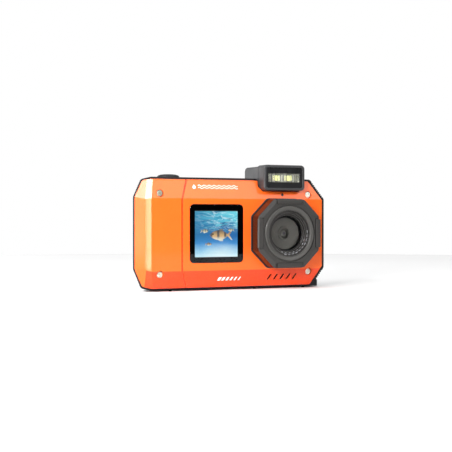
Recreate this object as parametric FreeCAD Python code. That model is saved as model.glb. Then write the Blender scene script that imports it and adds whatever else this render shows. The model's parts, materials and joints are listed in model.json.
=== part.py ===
"""Rugged waterproof compact camera, built as an assembly of separate pieces (millimetres).

Axes: +X to the right when facing the lens, +Y from the lens towards the back, +Z up.
Origin: middle of the footprint, on the surface that the camera stands on.
Shapes are built with Y as depth behind the flat front face, and moved by FACE_Y when written.
"""

import FreeCAD
import Part
import math
import os

Vec = FreeCAD.Vector

# ---------------------------------------------------------------- driving dimensions
HALF_WIDTH = 57.3
TOP_Z = 60.85
BOTTOM_Z = 0.45
MID_Z = 30.65
FRONT_REACH = 9.4
BACK_REACH = 25.4
FACE_Y = -(BACK_REACH - FRONT_REACH) / 2

COVER_JOIN = 6.0
REAR_JOIN = 20.5
BACK_FACE = 24.8
WALL = 2.2

LENS_X = 27.4
LENS_Z = MID_Z
OCT_HALF = 18.6
OCT_SIDE = 18.6

SURROUND_BACK = 2.8
MIC_X = 28.0
MIC_Z = 52.0
MIC_R = 1.1

SCREEN_X = -12.1
SCREEN_Z = 30.7
SCREEN_GLASS = 31.4
SCREEN_VIEW = 25.15

SCREW_X = 44.35
SCREW_Z = (9.3, 52.0)

FLASH_HALF = 12.7
FLASH_Z = (54.1, 68.2)
FLASH_FRONT = -3.0
FLASH_SPLIT = 5.5
FLASH_BACK = 22.3
NOTCH_Z = 53.7

BUTTON_DEPTH = 13.0
SHUTTER_X = -35.0
SHUTTER_R = 6.05
SHUTTER_TRAVEL = 0.8
DOME_TOP = 54.2
POWER_X = -13.0
POWER_R = 3.0
POWER_TRAVEL = 0.5

REAR_SCREEN_X = 11.2
REAR_GLASS = (62.0, 48.0)
REAR_VIEW = (56.9, 42.7)

KEY_R = 4.2
KEY_COLUMNS = (-27.0, -39.0)
KEY_ROWS = (44.5, 30.65, 16.8)
KEY_NAMES = ("key_zoom_in", "key_mode", "key_zoom_out", "key_menu", "key_play", "key_screen")
KEY_TRAVEL = 0.6
KEY_DOME_DEPTH = 20.6

HINGE_X = 51.7
HINGE_Z = 2.3
HINGE_R = 1.8
HINGE_PIN = (9.2, 19.6)
DOOR_DEPTH = (8.2, 19.8)
DOOR_TOP = 48.5
DOOR_THICK = 2.0
DOOR_GAP = 0.15
MOUTH = ((10.1, 18.5), (12.7, 47.8))

FAR = 200.0


# ---------------------------------------------------------------- shape helpers
def box(x, y, z):
    """Box from three (low, high) pairs."""
    shape = Part.makeBox(x[1] - x[0], y[1] - y[0], z[1] - z[0])
    shape.translate(Vec(x[0], y[0], z[0]))
    return shape


def cyl_y(x, z, radius, y0, y1):
    """Cylinder along the depth axis."""
    return Part.makeCylinder(radius, y1 - y0, Vec(x, y0, z), Vec(0, 1, 0))


def cyl_z(x, y, radius, z0, z1):
    """Upright cylinder."""
    return Part.makeCylinder(radius, z1 - z0, Vec(x, y, z0), Vec(0, 0, 1))


def ring_y(x, z, inner, outer, y0, y1):
    """Flat ring about the depth axis."""
    return cyl_y(x, z, outer, y0, y1).cut(cyl_y(x, z, inner, y0 - 1, y1 + 1))


def turned_y(x, z, profile):
    """Solid of revolution about a depth axis. The profile is (radius, depth) points."""
    points = [Vec(x + r, y, z) for r, y in profile]
    face = Part.Face(Part.makePolygon(points + points[:1]))
    return face.revolve(Vec(x, 0, z), Vec(0, 1, 0), 360)


def turned_z(x, y, profile):
    """Solid of revolution about an upright axis. The profile is (radius, height) points."""
    points = [Vec(x + r, y, z) for r, z in profile]
    face = Part.Face(Part.makePolygon(points + points[:1]))
    return face.revolve(Vec(x, y, 0), Vec(0, 0, 1), 360)


def outline_wire(points, radius, y):
    """Closed wire in the XZ plane at depth y, with every corner of the polygon rounded."""
    corners = [Vec(px, y, pz) for px, pz in points]
    count = len(corners)
    starts, ends, edges = [], [], []
    for i, corner in enumerate(corners):
        into = (corners[i - 1] - corner).normalize()
        out = (corners[(i + 1) % count] - corner).normalize()
        half = into.getAngle(out) / 2
        reach = radius / math.tan(half)
        middle = corner + (into + out).normalize() * (radius / math.sin(half) - radius)
        starts.append(corner + into * reach)
        ends.append(corner + out * reach)
        edges.append(Part.Arc(starts[i], middle, ends[i]).toShape())
    sides = [Part.makeLine(ends[i], starts[(i + 1) % count]) for i in range(count)]
    ordered = [edge for pair in zip(edges, sides) for edge in pair]
    return Part.Wire(ordered)


def prism(points, radius, y0, y1):
    """Extruded outline with rounded corners."""
    return Part.Face(outline_wire(points, radius, y0)).extrude(Vec(0, y1 - y0, 0))


def sharp_prism(points, y0, y1):
    """Extruded outline with sharp corners."""
    corners = [Vec(px, y0, pz) for px, pz in points]
    face = Part.Face(Part.makePolygon(corners + corners[:1]))
    return face.extrude(Vec(0, y1 - y0, 0))


def loft(points_a, radius_a, y_a, points_b, radius_b, y_b):
    """Solid between two rounded outlines that have the same number of corners."""
    wires = [outline_wire(points_a, radius_a, y_a), outline_wire(points_b, radius_b, y_b)]
    return Part.makeLoft(wires, True, True)


def rectangle(cx, cz, width, height):
    """Corners of an upright rectangle, clockwise from the lower left."""
    w, h = width / 2, height / 2
    return [(cx - w, cz - h), (cx - w, cz + h), (cx + w, cz + h), (cx + w, cz - h)]


def plate(cx, cz, width, height, radius, y0, y1):
    """Rectangular plate with rounded corners, facing along the depth axis."""
    return prism(rectangle(cx, cz, width, height), radius, y0, y1)


def inset(points, amounts):
    """Clockwise convex polygon with side i, from corner i to the next, moved in by amounts[i]."""
    count = len(points)
    lines = []
    for i in range(count):
        (x0, z0), (x1, z1) = points[i], points[(i + 1) % count]
        length = math.hypot(x1 - x0, z1 - z0)
        nx, nz = (z1 - z0) / length, -(x1 - x0) / length
        lines.append((nx, nz, nx * x0 + nz * z0 + amounts[i]))
    moved = []
    for i in range(count):
        (a, b, e), (c, d, f) = lines[i - 1], lines[i]
        det = a * d - b * c
        moved.append(((e * d - b * f) / det, (a * f - e * c) / det))
    return moved


def octagon(half, side):
    """Regular-looking octagon round the lens axis: overall half size and length of its flats."""
    s = side / 2
    ring = [(-half, -s), (-half, s), (-s, half), (s, half), (half, s), (half, -s), (s, -half), (-s, -half)]
    return [(LENS_X + px, LENS_Z + pz) for px, pz in ring]


def cut_plane(shape, points, inside):
    """Removes what lies beyond the plane through three points, on the side away from inside."""
    a, b, c = (Vec(*p) for p in points)
    normal = (b - a).cross(c - a).normalize()
    if normal.dot(Vec(*inside) - a) > 0:
        normal = normal * -1
    block = Part.makeBox(2 * FAR, 2 * FAR, FAR, Vec(-FAR, -FAR, 0))
    block.Placement = FreeCAD.Placement(a, FreeCAD.Rotation(Vec(0, 0, 1), normal)).multiply(block.Placement)
    return shape.cut(block)


def shifted(points, inside, amount):
    """Three points of a plane, moved along its normal towards inside."""
    a, b, c = (Vec(*p) for p in points)
    normal = (b - a).cross(c - a).normalize()
    if normal.dot(Vec(*inside) - a) < 0:
        normal = normal * -1
    return [tuple(p + normal * amount) for p in (a, b, c)]


def fillet_where(shape, radius, wanted):
    """Rounds the edges that wanted(edge) picks."""
    return shape.makeFillet(radius, [e for e in shape.Edges if wanted(e)])


def joined(*shapes):
    """One solid from overlapping shapes."""
    return shapes[0].multiFuse(list(shapes[1:])).removeSplitter()


def minus(shape, *tools):
    """Shape with every tool cut away."""
    for tool in tools:
        shape = shape.cut(tool)
    return shape


def at_screws(make):
    """The same shape made at the four cover screws."""
    return [make(sx, sz) for sx in (-SCREW_X, SCREW_X) for sz in SCREW_Z]


# ---------------------------------------------------------------- body outlines
# Clockwise from the lower left, as (X, Z): left side, left top corner in two steps, top,
# right top corner, right side, right lower corner, bottom, left lower corner in two steps.
BODY = [
    (-HALF_WIDTH, 12.0),
    (-HALF_WIDTH, 50.2),
    (-53.1, 59.5),
    (-47.5, TOP_Z),
    (48.2, TOP_Z),
    (HALF_WIDTH, 50.0),
    (HALF_WIDTH, 10.9),
    (49.3, BOTTOM_Z),
    (-47.5, BOTTOM_Z),
    (-53.1, 2.0),
]
REAR_TAPER = (5.7, 5.2, 1.5, 0.0, 3.6, 4.7, 3.6, 0.0, 1.5, 5.2)
BACK_TAPER = (3.6, 3.6, 3.2, 3.0, 3.0, 3.2, 3.0, 3.0, 3.2, 3.6)
REAR_BODY = inset(BODY, REAR_TAPER)
BACK_BODY = inset(REAR_BODY, BACK_TAPER)
RIM_DEPTH = 0.8
SEAL_DEEP = 0.7
CAVITY = [
    (-48.8, 12.0),
    (-48.8, 50.0),
    (-45.4, 57.6),
    (42.8, 57.6),
    (49.0, 50.3),
    (49.0, 10.3),
    (43.9, 3.6),
    (-45.3, 3.6),
]


def frame_body(margin):
    """Outside of the middle frame, moved in by margin: an upright rim and a taper behind it."""
    rim_end = COVER_JOIN + RIM_DEPTH
    front = inset(BODY, [margin] * len(BODY))
    rear = inset(REAR_BODY, [margin] * len(BODY))
    rim = prism(front, 2.5, COVER_JOIN, rim_end)
    taper = loft(front, 2.5, rim_end, rear, 2.5, REAR_JOIN)
    return joined(rim, taper)


# ---------------------------------------------------------------- front cover
COVER_INSIDE = (0.0, 20.0, MID_Z)
BEVEL_TOP = (49.4, 59.6)
BEVEL_BOTTOM = (10.9, 1.75)
BEVEL_DEPTH = 3.0
COVER_PLANES = [
    ((0, 0, 0), (1, 0, 0), (0, 0, 1)),
    ((0, 0, BEVEL_TOP[0]), (1, 0, BEVEL_TOP[0]), (0, BEVEL_DEPTH, BEVEL_TOP[1])),
    ((0, BEVEL_DEPTH, BEVEL_TOP[1]), (1, BEVEL_DEPTH, BEVEL_TOP[1]), (0, COVER_JOIN, 59.8)),
    ((0, 0, BEVEL_BOTTOM[0]), (1, 0, BEVEL_BOTTOM[0]), (0, BEVEL_DEPTH, BEVEL_BOTTOM[1])),
    ((0, BEVEL_DEPTH, BEVEL_BOTTOM[1]), (1, BEVEL_DEPTH, BEVEL_BOTTOM[1]), (0, COVER_JOIN, 1.6)),
    ((-49.3, 0, 0), (-49.3, 0, 1), (-52.6, 1.6, 0)),
    ((-52.6, 1.6, 0), (-52.6, 1.6, 1), (-56.7, COVER_JOIN, 0)),
    ((52.6, 0, 0), (52.6, 0, 1), (55.4, COVER_JOIN, 0)),
    ((-49.3, 0, 49.4), (-47.6, 3.0, 59.6), (-52.6, 1.6, 49.0)),
    ((-52.6, 1.6, 49.0), (-50.4, 4.4, 59.6), (-56.7, COVER_JOIN, 50.0)),
    ((-49.3, 0, 10.9), (-47.6, 3.0, 1.75), (-52.6, 1.6, 11.8)),
    ((-52.6, 1.6, 12.4), (-50.6, 4.4, 1.75), (-56.7, COVER_JOIN, 12.2)),
    ((53.5, 0, 48.0), (55.4, COVER_JOIN, 49.4), (46.7, COVER_JOIN, 59.7)),
    ((53.3, 0, 13.2), (55.4, COVER_JOIN, 12.3), (47.6, COVER_JOIN, 1.7)),
]
COVER_CORNERS = [
    (-56.7, 12.2),
    (-56.7, 50.0),
    (-52.5, 58.9),
    (-47.2, 59.8),
    (46.6, 59.8),
    (55.4, 49.5),
    (55.4, 12.2),
    (47.5, 1.6),
    (-47.2, 1.6),
    (-52.5, 2.9),
]


def faceted(margin):
    """Outer form of the front cover: flat face, sloped borders and end facets."""
    shape = prism(inset(COVER_CORNERS, [margin] * len(COVER_CORNERS)), 2.0, -1.0, COVER_JOIN)
    for plane in COVER_PLANES:
        shape = cut_plane(shape, shifted(plane, COVER_INSIDE, margin), COVER_INSIDE)
    return shape


def seam_groove():
    """Narrow groove that sets off the grip end of the cover."""
    width, depth = 0.8, 0.55
    foot, knee = -28.3, -32.1
    path = [(foot, BOTTOM_Z), (knee, BEVEL_BOTTOM[0]), (knee, BEVEL_TOP[0]), (foot, TOP_Z)]
    left = [(px - width / 2, pz) for px, pz in path]
    right = [(px + width / 2, pz) for px, pz in reversed(path)]
    band = sharp_prism(left + right, -1.0, COVER_JOIN)
    return band.cut(faceted(depth))


def speaker_slots():
    """Five slanted sound slots below the lens."""
    width, lean, pitch, count = 1.1, 1.75, 3.9, 5
    low, high = 5.1, 8.2
    first = LENS_X - pitch * (count - 1) / 2 - lean / 2
    slots = []
    for i in range(count):
        x0 = first + i * pitch
        corners = [(x0, low), (x0 + lean, high), (x0 + lean + width, high), (x0 + width, low)]
        slots.append(sharp_prism(corners, -1.0, COVER_JOIN))
    return slots


def flash_notch(margin, y0, y1):
    """Cut in the top edge that the flash sits in."""
    half, low, slant = FLASH_HALF + 1.2 + margin, NOTCH_Z - margin, 2.6
    corners = [
        (LENS_X - half + slant, low),
        (LENS_X - half, low + slant),
        (LENS_X - half, 75.0),
        (LENS_X + half, 75.0),
        (LENS_X + half, low + slant),
        (LENS_X + half - slant, low),
    ]
    return prism(corners, 0.8, y0, y1)


def flash_seat():
    """Space behind the front cover that the flash unit fills."""
    half = FLASH_HALF + 0.15
    return box((LENS_X - half, LENS_X + half), (COVER_JOIN - 1, FLASH_BACK + 0.15), (NOTCH_Z, 75.0))


def make_front_cover():
    outer = faceted(0.0)
    outer = fillet_where(
        outer,
        0.8,
        lambda e: e.Length > 20 and e.BoundBox.YMax < 5.9 and e.BoundBox.XMin < 50,
    )
    shell = outer.cut(faceted(WALL))
    bosses = at_screws(lambda x, z: cyl_y(x, z, 3.2, 0.6, COVER_JOIN))
    surround = prism(octagon(OCT_HALF + 2.2, OCT_SIDE + 1.6), 1.5, 0.6, SURROUND_BACK)
    pocket_wall = plate(SCREEN_X, SCREEN_Z, 34.0, 34.0, 2.5, 0.5, 2.6)
    notch_wall = flash_notch(1.4, 0.0, COVER_JOIN)
    stiffeners = [surround, pocket_wall, notch_wall] + bosses
    shell = joined(shell, *[part.common(outer) for part in stiffeners])
    tools = [
        prism(octagon(OCT_HALF + 0.55, OCT_SIDE + 0.3), 2.4, -1.0, COVER_JOIN),
        plate(SCREEN_X, SCREEN_Z, SCREEN_GLASS + 0.2, SCREEN_GLASS + 0.2, 2.5, -1.0, 0.95),
        plate(SCREEN_X, SCREEN_Z - 0.6, 28.2, 29.6, 0.8, -1.0, COVER_JOIN),
        flash_notch(0.0, -1.0, COVER_JOIN + 1.0),
        cyl_y(MIC_X, MIC_Z, 0.85, -1.0, COVER_JOIN),
        cyl_y(MIC_X, MIC_Z, MIC_R + 0.1, 2.9, COVER_JOIN),
        seam_groove(),
    ]
    tools += speaker_slots()
    tools += at_screws(lambda x, z: cyl_y(x, z, 2.0, -1.0, 2.6))
    tools += at_screws(lambda x, z: cyl_y(x, z, 1.15, -1.0, COVER_JOIN + 1.0))
    return minus(shell, *tools)


def perimeter_ring(y0, y1):
    """Rubber ring just outside the frame's cavity, or the groove for it."""
    outer = inset(CAVITY, [-1.7] * len(CAVITY))
    inner = inset(CAVITY, [-0.7] * len(CAVITY))
    return prism(outer, 1.8, y0, y1).cut(prism(inner, 1.5, y0 - 1, y1 + 1))


# ---------------------------------------------------------------- middle frame
def corner_ribs():
    """Shallow cross grooves that make the frame's right and left corners grippy."""
    pitch, width, depth = 1.3, 0.55, 0.45
    cuts = []
    for i in (1, 4, 6, 9):
        (x0, z0), (x1, z1) = BODY[i], BODY[(i + 1) % len(BODY)]
        length = math.hypot(x1 - x0, z1 - z0)
        angle = math.degrees(math.atan2(z1 - z0, x1 - x0))
        for k in range(1, int((length - 2.0) / pitch) + 1):
            share = (1.0 + k * pitch) / length
            cut = box((-width / 2, width / 2), (COVER_JOIN - 1, REAR_JOIN + 1), (-depth, 3.0))
            cut.rotate(Vec(0, 0, 0), Vec(0, 1, 0), -angle)
            cut.translate(Vec(x0 + (x1 - x0) * share, 0, z0 + (z1 - z0) * share))
            cuts.append(cut)
    return cuts


def door_region(gap):
    """Space taken by the side door in the right end of the frame, grown by gap."""
    shell = frame_body(-1.0).cut(frame_body(DOOR_THICK + gap))
    window = box((45.0, 62.0), (DOOR_DEPTH[0] - gap, DOOR_DEPTH[1] + gap), (5.4 - gap, DOOR_TOP + gap))
    return shell.common(window)


def hinge_lugs():
    """Two fixed knuckles of the door hinge, standing out of the lower right corner."""
    low, high, right = HINGE_Z - HINGE_R, HINGE_Z + HINGE_R, HINGE_X + HINGE_R
    corners = [
        (45.0, low + 0.2),
        (46.6, 3.6),
        (48.0, 5.1),
        (HINGE_X - 0.4, 5.1),
        (right, high),
        (right, low + 0.4),
        (right - 0.4, low),
        (45.4, low),
    ]
    return [sharp_prism(corners, y0, y1) for y0, y1 in ((7.0, 11.4), (16.6, 19.6))]


def screw_web(x, z):
    """Rib that ties a screw boss to the wall above or below it."""
    reach = 58.2 if z > MID_Z else 3.0
    return box((x - 1.2, x + 1.2), (COVER_JOIN, REAR_JOIN), (min(z, reach), max(z, reach)))


def make_middle_frame():
    solid = frame_body(0.0)
    solid = minus(solid, *corner_ribs())
    solid = solid.cut(prism(CAVITY, 1.5, COVER_JOIN - 1, REAR_JOIN + 1))
    solid = solid.cut(door_region(DOOR_GAP))
    solid = joined(
        solid,
        *hinge_lugs(),
        *at_screws(lambda x, z: cyl_y(x, z, 3.1, COVER_JOIN, REAR_JOIN)),
        *at_screws(screw_web),
        cyl_z(SHUTTER_X, BUTTON_DEPTH, SHUTTER_R + 0.9, 55.6, 59.0),
        cyl_z(POWER_X, BUTTON_DEPTH, 4.6, 55.6, 59.0),
        cyl_z(0.0, BUTTON_DEPTH, 6.5, 2.0, 7.5),
        box((12.8, 42.0), (COVER_JOIN, REAR_JOIN), (52.2, 59.0)),
    )
    door_depth, door_height = MOUTH
    tools = [
        perimeter_ring(COVER_JOIN, COVER_JOIN + SEAL_DEEP).cut(flash_notch(1.2, 0.0, 10.0)),
        flash_seat(),
        flash_notch(0.0, COVER_JOIN - 1, 7.2),
        cyl_z(SHUTTER_X, BUTTON_DEPTH, SHUTTER_R + 0.2, 57.4, 75.0),
        cyl_z(SHUTTER_X, BUTTON_DEPTH, 2.1, 56.1, 57.5),
        cyl_z(SHUTTER_X, BUTTON_DEPTH, 1.3, 50.0, 57.5),
        cyl_z(POWER_X, BUTTON_DEPTH, POWER_R + 0.15, 57.4, 75.0),
        cyl_z(POWER_X, BUTTON_DEPTH, 1.1, 50.0, 57.5),
        cyl_z(0.0, BUTTON_DEPTH, 4.5, -1.0, 7.6),
        box((47.0, 60.0), door_depth, door_height),
        cyl_y(HINGE_X, HINGE_Z, 3.5, 11.4, 16.6),
        sharp_prism([(49.3, 2.0), (49.3, 6.4), (52.4, 8.4), (57.0, 3.0), (51.0, -1.0)], 11.4, 16.6),
        cyl_y(HINGE_X, HINGE_Z, 0.7, HINGE_PIN[0], HINGE_PIN[1]),
        box((52.95, 54.15), (12.45, 15.15), (47.0, DOOR_TOP + 3.2)),
        box((-60.0, -51.2), (10.4, 16.2), (15.0, 25.0)),
        cyl_z(-53.6, 13.3, 0.8, 13.0, 27.0),
    ]
    tools += at_screws(lambda x, z: cyl_y(x, z, 1.15, 0.0, REAR_JOIN + 1))
    return minus(solid, *tools)


def make_base_feet():
    spots = [(px, py) for px in (-36.0, 14.0, 44.5) for py in (7.6, 18.6)]
    return Part.makeCompound([cyl_z(px, py, 0.8, 0.0, BOTTOM_Z) for px, py in spots])


def make_tripod_bush():
    body = cyl_z(0.0, BUTTON_DEPTH, 4.5, BOTTOM_Z, 7.5)
    thread = cyl_z(0.0, BUTTON_DEPTH, 2.6, BOTTOM_Z - 1, 6.6)
    return body.cut(thread)


def make_strap_pin():
    return cyl_z(-53.6, 13.3, 0.8, 13.0, 27.0)


# ---------------------------------------------------------------- seals between the shells
def make_front_seal():
    ring = perimeter_ring(COVER_JOIN, COVER_JOIN + SEAL_DEEP)
    return minus(ring, flash_notch(1.2, 0.0, 10.0))


def make_rear_seal():
    """Ring between the frame and the back cover, open where the flash unit passes through it."""
    half = FLASH_HALF + 0.6
    ring = perimeter_ring(REAR_JOIN, REAR_JOIN + SEAL_DEEP)
    return ring.cut(box((LENS_X - half, LENS_X + half), (0.0, 30.0), (53.0, 75.0)))


# ---------------------------------------------------------------- rear cover
def make_rear_cover():
    outer = loft(REAR_BODY, 2.5, REAR_JOIN, BACK_BODY, 2.5, BACK_FACE)
    outer = fillet_where(outer, 0.9, lambda e: e.BoundBox.YMin > BACK_FACE - 0.1)
    hollow = prism(inset(CAVITY, [0.6] * len(CAVITY)), 1.5, REAR_JOIN - 1, BACK_FACE - 2.0)
    shell = outer.cut(hollow)
    flash_floor = box((12.8, 42.0), (REAR_JOIN, BACK_FACE - 1.0), (52.95, 58.0))
    shell = joined(shell, flash_floor, *at_screws(lambda x, z: cyl_y(x, z, 3.1, REAR_JOIN, 23.5)))
    width, height = REAR_GLASS
    tools = [
        perimeter_ring(REAR_JOIN, REAR_JOIN + SEAL_DEEP),
        plate(REAR_SCREEN_X, MID_Z, width + 0.2, height + 0.2, 2.3, 23.2, 30.0),
        plate(REAR_SCREEN_X, MID_Z, 59.6, 44.6, 0.8, REAR_JOIN - 1, 30.0),
        cyl_y(-33.0, 53.3, 0.8, REAR_JOIN, 30.0),
        flash_seat(),
    ]
    tools += at_screws(lambda x, z: cyl_y(x, z, 0.95, REAR_JOIN - 1, 22.6))
    for x in KEY_COLUMNS:
        for z in KEY_ROWS:
            tools.append(cyl_y(x, z, KEY_R + 0.2, REAR_JOIN, 30.0))
            tools.append(cyl_y(x, z, KEY_R + 0.7, REAR_JOIN, 23.6))
    return minus(shell, *tools)


# ---------------------------------------------------------------- cover screws
def screw(x, z):
    """Pan-head screw with a cross recess, driven from the front into the rear cover."""
    head = turned_y(x, z, [(0, 0.95), (0.9, 1.0), (1.5, 1.25), (1.75, 1.7), (1.75, 2.6), (0, 2.6)])
    shank = cyl_y(x, z, 0.95, 2.4, 22.4)
    solid = joined(head, shank)
    for size in ((1.1, 0.28), (0.28, 1.1)):
        recess = box((x - size[0], x + size[0]), (0.0, 1.7), (z - size[1], z + size[1]))
        solid = solid.cut(recess)
    return solid


def make_cover_screws():
    return Part.makeCompound(at_screws(screw))


# ---------------------------------------------------------------- lens port
PLATE_BACK = -7.6
PLATE_FRONT = -9.1
RING_OUTER = 15.4
RING_INNER = 12.7


def make_lens_housing():
    """Eight-sided port that stands out of the cover and holds the optics."""
    barrel = prism(octagon(OCT_HALF, OCT_SIDE), 2.2, PLATE_BACK, 4.5)
    flange = prism(octagon(OCT_HALF + 1.2, OCT_SIDE + 1.0), 2.2, SURROUND_BACK, 4.5)
    profile = [
        (0, -9.0),
        (12.7, -9.0),
        (12.7, -4.7),
        (9.9, -4.7),
        (9.9, -2.5),
        (9.3, -2.5),
        (9.3, -1.5),
        (7.6, -1.5),
        (7.6, 6.0),
        (0, 6.0),
    ]
    return joined(barrel, flange).cut(turned_y(LENS_X, LENS_Z, profile))


def make_lens_port_seal():
    outer = prism(octagon(OCT_HALF + 0.55, OCT_SIDE + 0.3), 2.4, -0.35, SURROUND_BACK)
    return outer.cut(prism(octagon(OCT_HALF, OCT_SIDE), 2.2, -1.0, SURROUND_BACK + 1))


def make_lens_bezel():
    """Front plate of the port: sloped border and a raised pad on each of four flats."""
    plain, slope = 16.6, 0.8
    base = prism(octagon(OCT_HALF, OCT_SIDE), 2.2, PLATE_FRONT + slope, PLATE_BACK)
    rim = octagon(OCT_HALF, OCT_SIDE)
    crown = loft(octagon(plain, 16.4), 2.0, PLATE_FRONT, rim, 2.2, PLATE_FRONT + slope)
    solid = joined(base, crown)
    pad_half, pad_in = 7.7, 16.1
    for turn in range(4):
        pad_out = 18.8 if turn % 2 else 19.4
        profile = [
            (pad_in, -9.35),
            (pad_out - 0.7, -9.35),
            (pad_out, -8.75),
            (pad_out, PLATE_BACK),
            (pad_in, PLATE_BACK),
        ]
        corners = [Vec(LENS_X + r, y, LENS_Z - pad_half) for r, y in profile]
        pad = Part.Face(Part.makePolygon(corners + corners[:1])).extrude(Vec(0, 0, 2 * pad_half))
        slot = box((LENS_X + 15.9, LENS_X + pad_in), (-12.0, -8.5), (LENS_Z - pad_half, LENS_Z + pad_half))
        ends = [
            box((LENS_X + 16.0, LENS_X + 20.0), (-12.0, -8.6), (LENS_Z + end - 0.3, LENS_Z + end + 0.3))
            for end in (-8.0, 8.0)
        ]
        for shape in [pad, slot] + ends:
            shape.rotate(Vec(LENS_X, 0, LENS_Z), Vec(0, 1, 0), 90 * turn)
        solid = minus(joined(solid, pad), slot, *ends)
    return solid.cut(cyl_y(LENS_X, LENS_Z, RING_OUTER, -15.0, 0.0))


def make_lens_ring():
    profile = [
        (RING_INNER, PLATE_BACK),
        (RING_INNER, -8.7),
        (RING_INNER + 0.3, -8.95),
        (RING_OUTER - 0.8, -FRONT_REACH),
        (RING_OUTER - 0.45, -9.15),
        (RING_OUTER - 0.45, -8.5),
        (RING_OUTER, -8.5),
        (RING_OUTER, PLATE_BACK),
    ]
    return turned_y(LENS_X, LENS_Z, profile)


def make_lens_baffle():
    """Stepped cone that narrows from the ring to the window."""
    profile = [
        (12.65, -8.6),
        (12.2, -8.6),
        (11.9, -7.7),
        (11.3, -7.7),
        (11.0, -6.9),
        (10.5, -6.9),
        (10.2, -6.0),
        (9.8, -6.0),
        (9.4, -4.7),
        (12.65, -4.7),
    ]
    return turned_y(LENS_X, LENS_Z, profile)


def make_port_window():
    return cyl_y(LENS_X, LENS_Z, 9.85, -4.7, -3.5)


def make_window_seal():
    return ring_y(LENS_X, LENS_Z, 8.8, 9.85, -3.5, -2.5)


def make_lens_face_plate():
    """Dark disc behind the window, with a fine step round the lens."""
    profile = [(2.75, -1.5), (2.75, -2.2), (3.1, -2.6), (4.0, -2.6), (4.1, -2.2), (9.25, -2.2), (9.25, -1.5)]
    return turned_y(LENS_X, LENS_Z, profile)


def make_lens_cell():
    profile = [
        (2.45, -2.4),
        (2.75, -2.4),
        (2.75, -1.5),
        (5.2, -1.5),
        (5.2, 5.0),
        (4.2, 5.0),
        (4.2, 1.6),
        (2.45, 1.6),
    ]
    return turned_y(LENS_X, LENS_Z, profile)


def make_front_lens():
    """Small meniscus at the front of the cell."""
    ball = Part.makeSphere(3.4, Vec(LENS_X, -1.9 + 3.4, LENS_Z))
    return ball.common(cyl_y(LENS_X, LENS_Z, 2.45, -3.0, -0.3))


def make_image_sensor():
    board = box((LENS_X - 7.0, LENS_X + 7.0), (5.6, 6.6), (LENS_Z - 7.0, LENS_Z + 7.0))
    die = box((LENS_X - 3.1, LENS_X + 3.1), (5.0, 5.6), (LENS_Z - 2.3, LENS_Z + 2.3))
    return joined(board, die)


# ---------------------------------------------------------------- front screen
def make_front_screen_glass():
    glass = plate(SCREEN_X, SCREEN_Z, SCREEN_GLASS, SCREEN_GLASS, 2.4, -0.15, 0.75)
    return fillet_where(glass, 0.25, lambda e: e.BoundBox.YMax < -0.1)


def make_front_screen_mask():
    outer = plate(SCREEN_X, SCREEN_Z, SCREEN_GLASS, SCREEN_GLASS, 2.4, 0.75, 0.95)
    return outer.cut(plate(SCREEN_X, SCREEN_Z, SCREEN_VIEW, SCREEN_VIEW, 0.2, 0.0, 2.0))


def make_front_display():
    return plate(SCREEN_X, SCREEN_Z - 0.6, 27.8, 29.2, 0.5, 0.95, 2.6)


# ---------------------------------------------------------------- flash
FLASH_MID = (FLASH_Z[0] + FLASH_Z[1]) / 2
FLASH_HIGH = FLASH_Z[1] - FLASH_Z[0]
FLASH_WINDOW = (19.5, 4.9)


def flash_plate(width, height, radius, y0, y1):
    return plate(LENS_X, FLASH_MID, width, height, radius, y0, y1)


def make_flash_bezel():
    """Front frame of the flash, with a stepped mouth."""
    outer = flash_plate(2 * FLASH_HALF, FLASH_HIGH, 2.2, FLASH_FRONT, FLASH_SPLIT)
    outer = fillet_where(outer, 0.7, lambda e: e.BoundBox.YMax < FLASH_FRONT + 0.1)
    mouth = flash_plate(22.4, 11.2, 1.2, FLASH_FRONT - 1, -1.4)
    inside = flash_plate(21.2, 10.0, 1.0, -2.0, FLASH_SPLIT + 1)
    groove = flash_plate(2 * FLASH_HALF + 2, FLASH_HIGH + 2, 2.2, 3.3, 3.7)
    groove = groove.cut(flash_plate(2 * FLASH_HALF - 0.6, FLASH_HIGH - 0.6, 2.0, 3.0, 4.0))
    return minus(outer, mouth, inside, groove)


def make_flash_faceplate():
    sheet = flash_plate(22.4, 11.2, 1.2, -2.5, -1.4)
    return sheet.cut(flash_plate(FLASH_WINDOW[0], FLASH_WINDOW[1], 0.5, -5.0, 0.0))


def make_flash_window():
    """Clear cover with upright ribs on its inner side."""
    width, height = FLASH_WINDOW
    pitch, depth = 0.75, 0.3
    sheet = flash_plate(width, height, 0.5, -2.1, -1.3)
    count = int((width - 1.0) / pitch)
    first = LENS_X - pitch * count / 2
    for i in range(count):
        x0 = first + i * pitch
        corners = [Vec(x0, -1.2, 0), Vec(x0 + pitch, -1.2, 0), Vec(x0 + pitch / 2, -1.3 - depth, 0)]
        rib = Part.Face(Part.makePolygon(corners + corners[:1])).extrude(Vec(0, 0, FAR))
        sheet = sheet.cut(rib)
    return sheet


def make_flash_reflector():
    """Bright trough that opens from the lamps to the window."""
    mouth, throat = -1.2, 2.6
    outer_mouth = rectangle(LENS_X, FLASH_MID, 20.6, 6.4)
    outer_throat = rectangle(LENS_X, FLASH_MID, 15.6, 5.4)
    inner_mouth = rectangle(LENS_X, FLASH_MID, 19.6, 5.2)
    inner_throat = rectangle(LENS_X, FLASH_MID, 14.4, 4.2)
    outer = loft(outer_mouth, 0.6, mouth, outer_throat, 0.6, throat)
    inner = loft(inner_mouth, 0.6, mouth, inner_throat, 0.6, throat)
    return outer.cut(inner)


def make_flash_leds():
    """Two square lamps on their board."""
    lamps = [plate(LENS_X + side * 3.6, FLASH_MID, 3.6, 3.6, 0.3, 2.0, 3.2) for side in (-1, 1)]
    return joined(flash_plate(19.0, 9.0, 0.5, 3.1, 4.1), *lamps)


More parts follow.
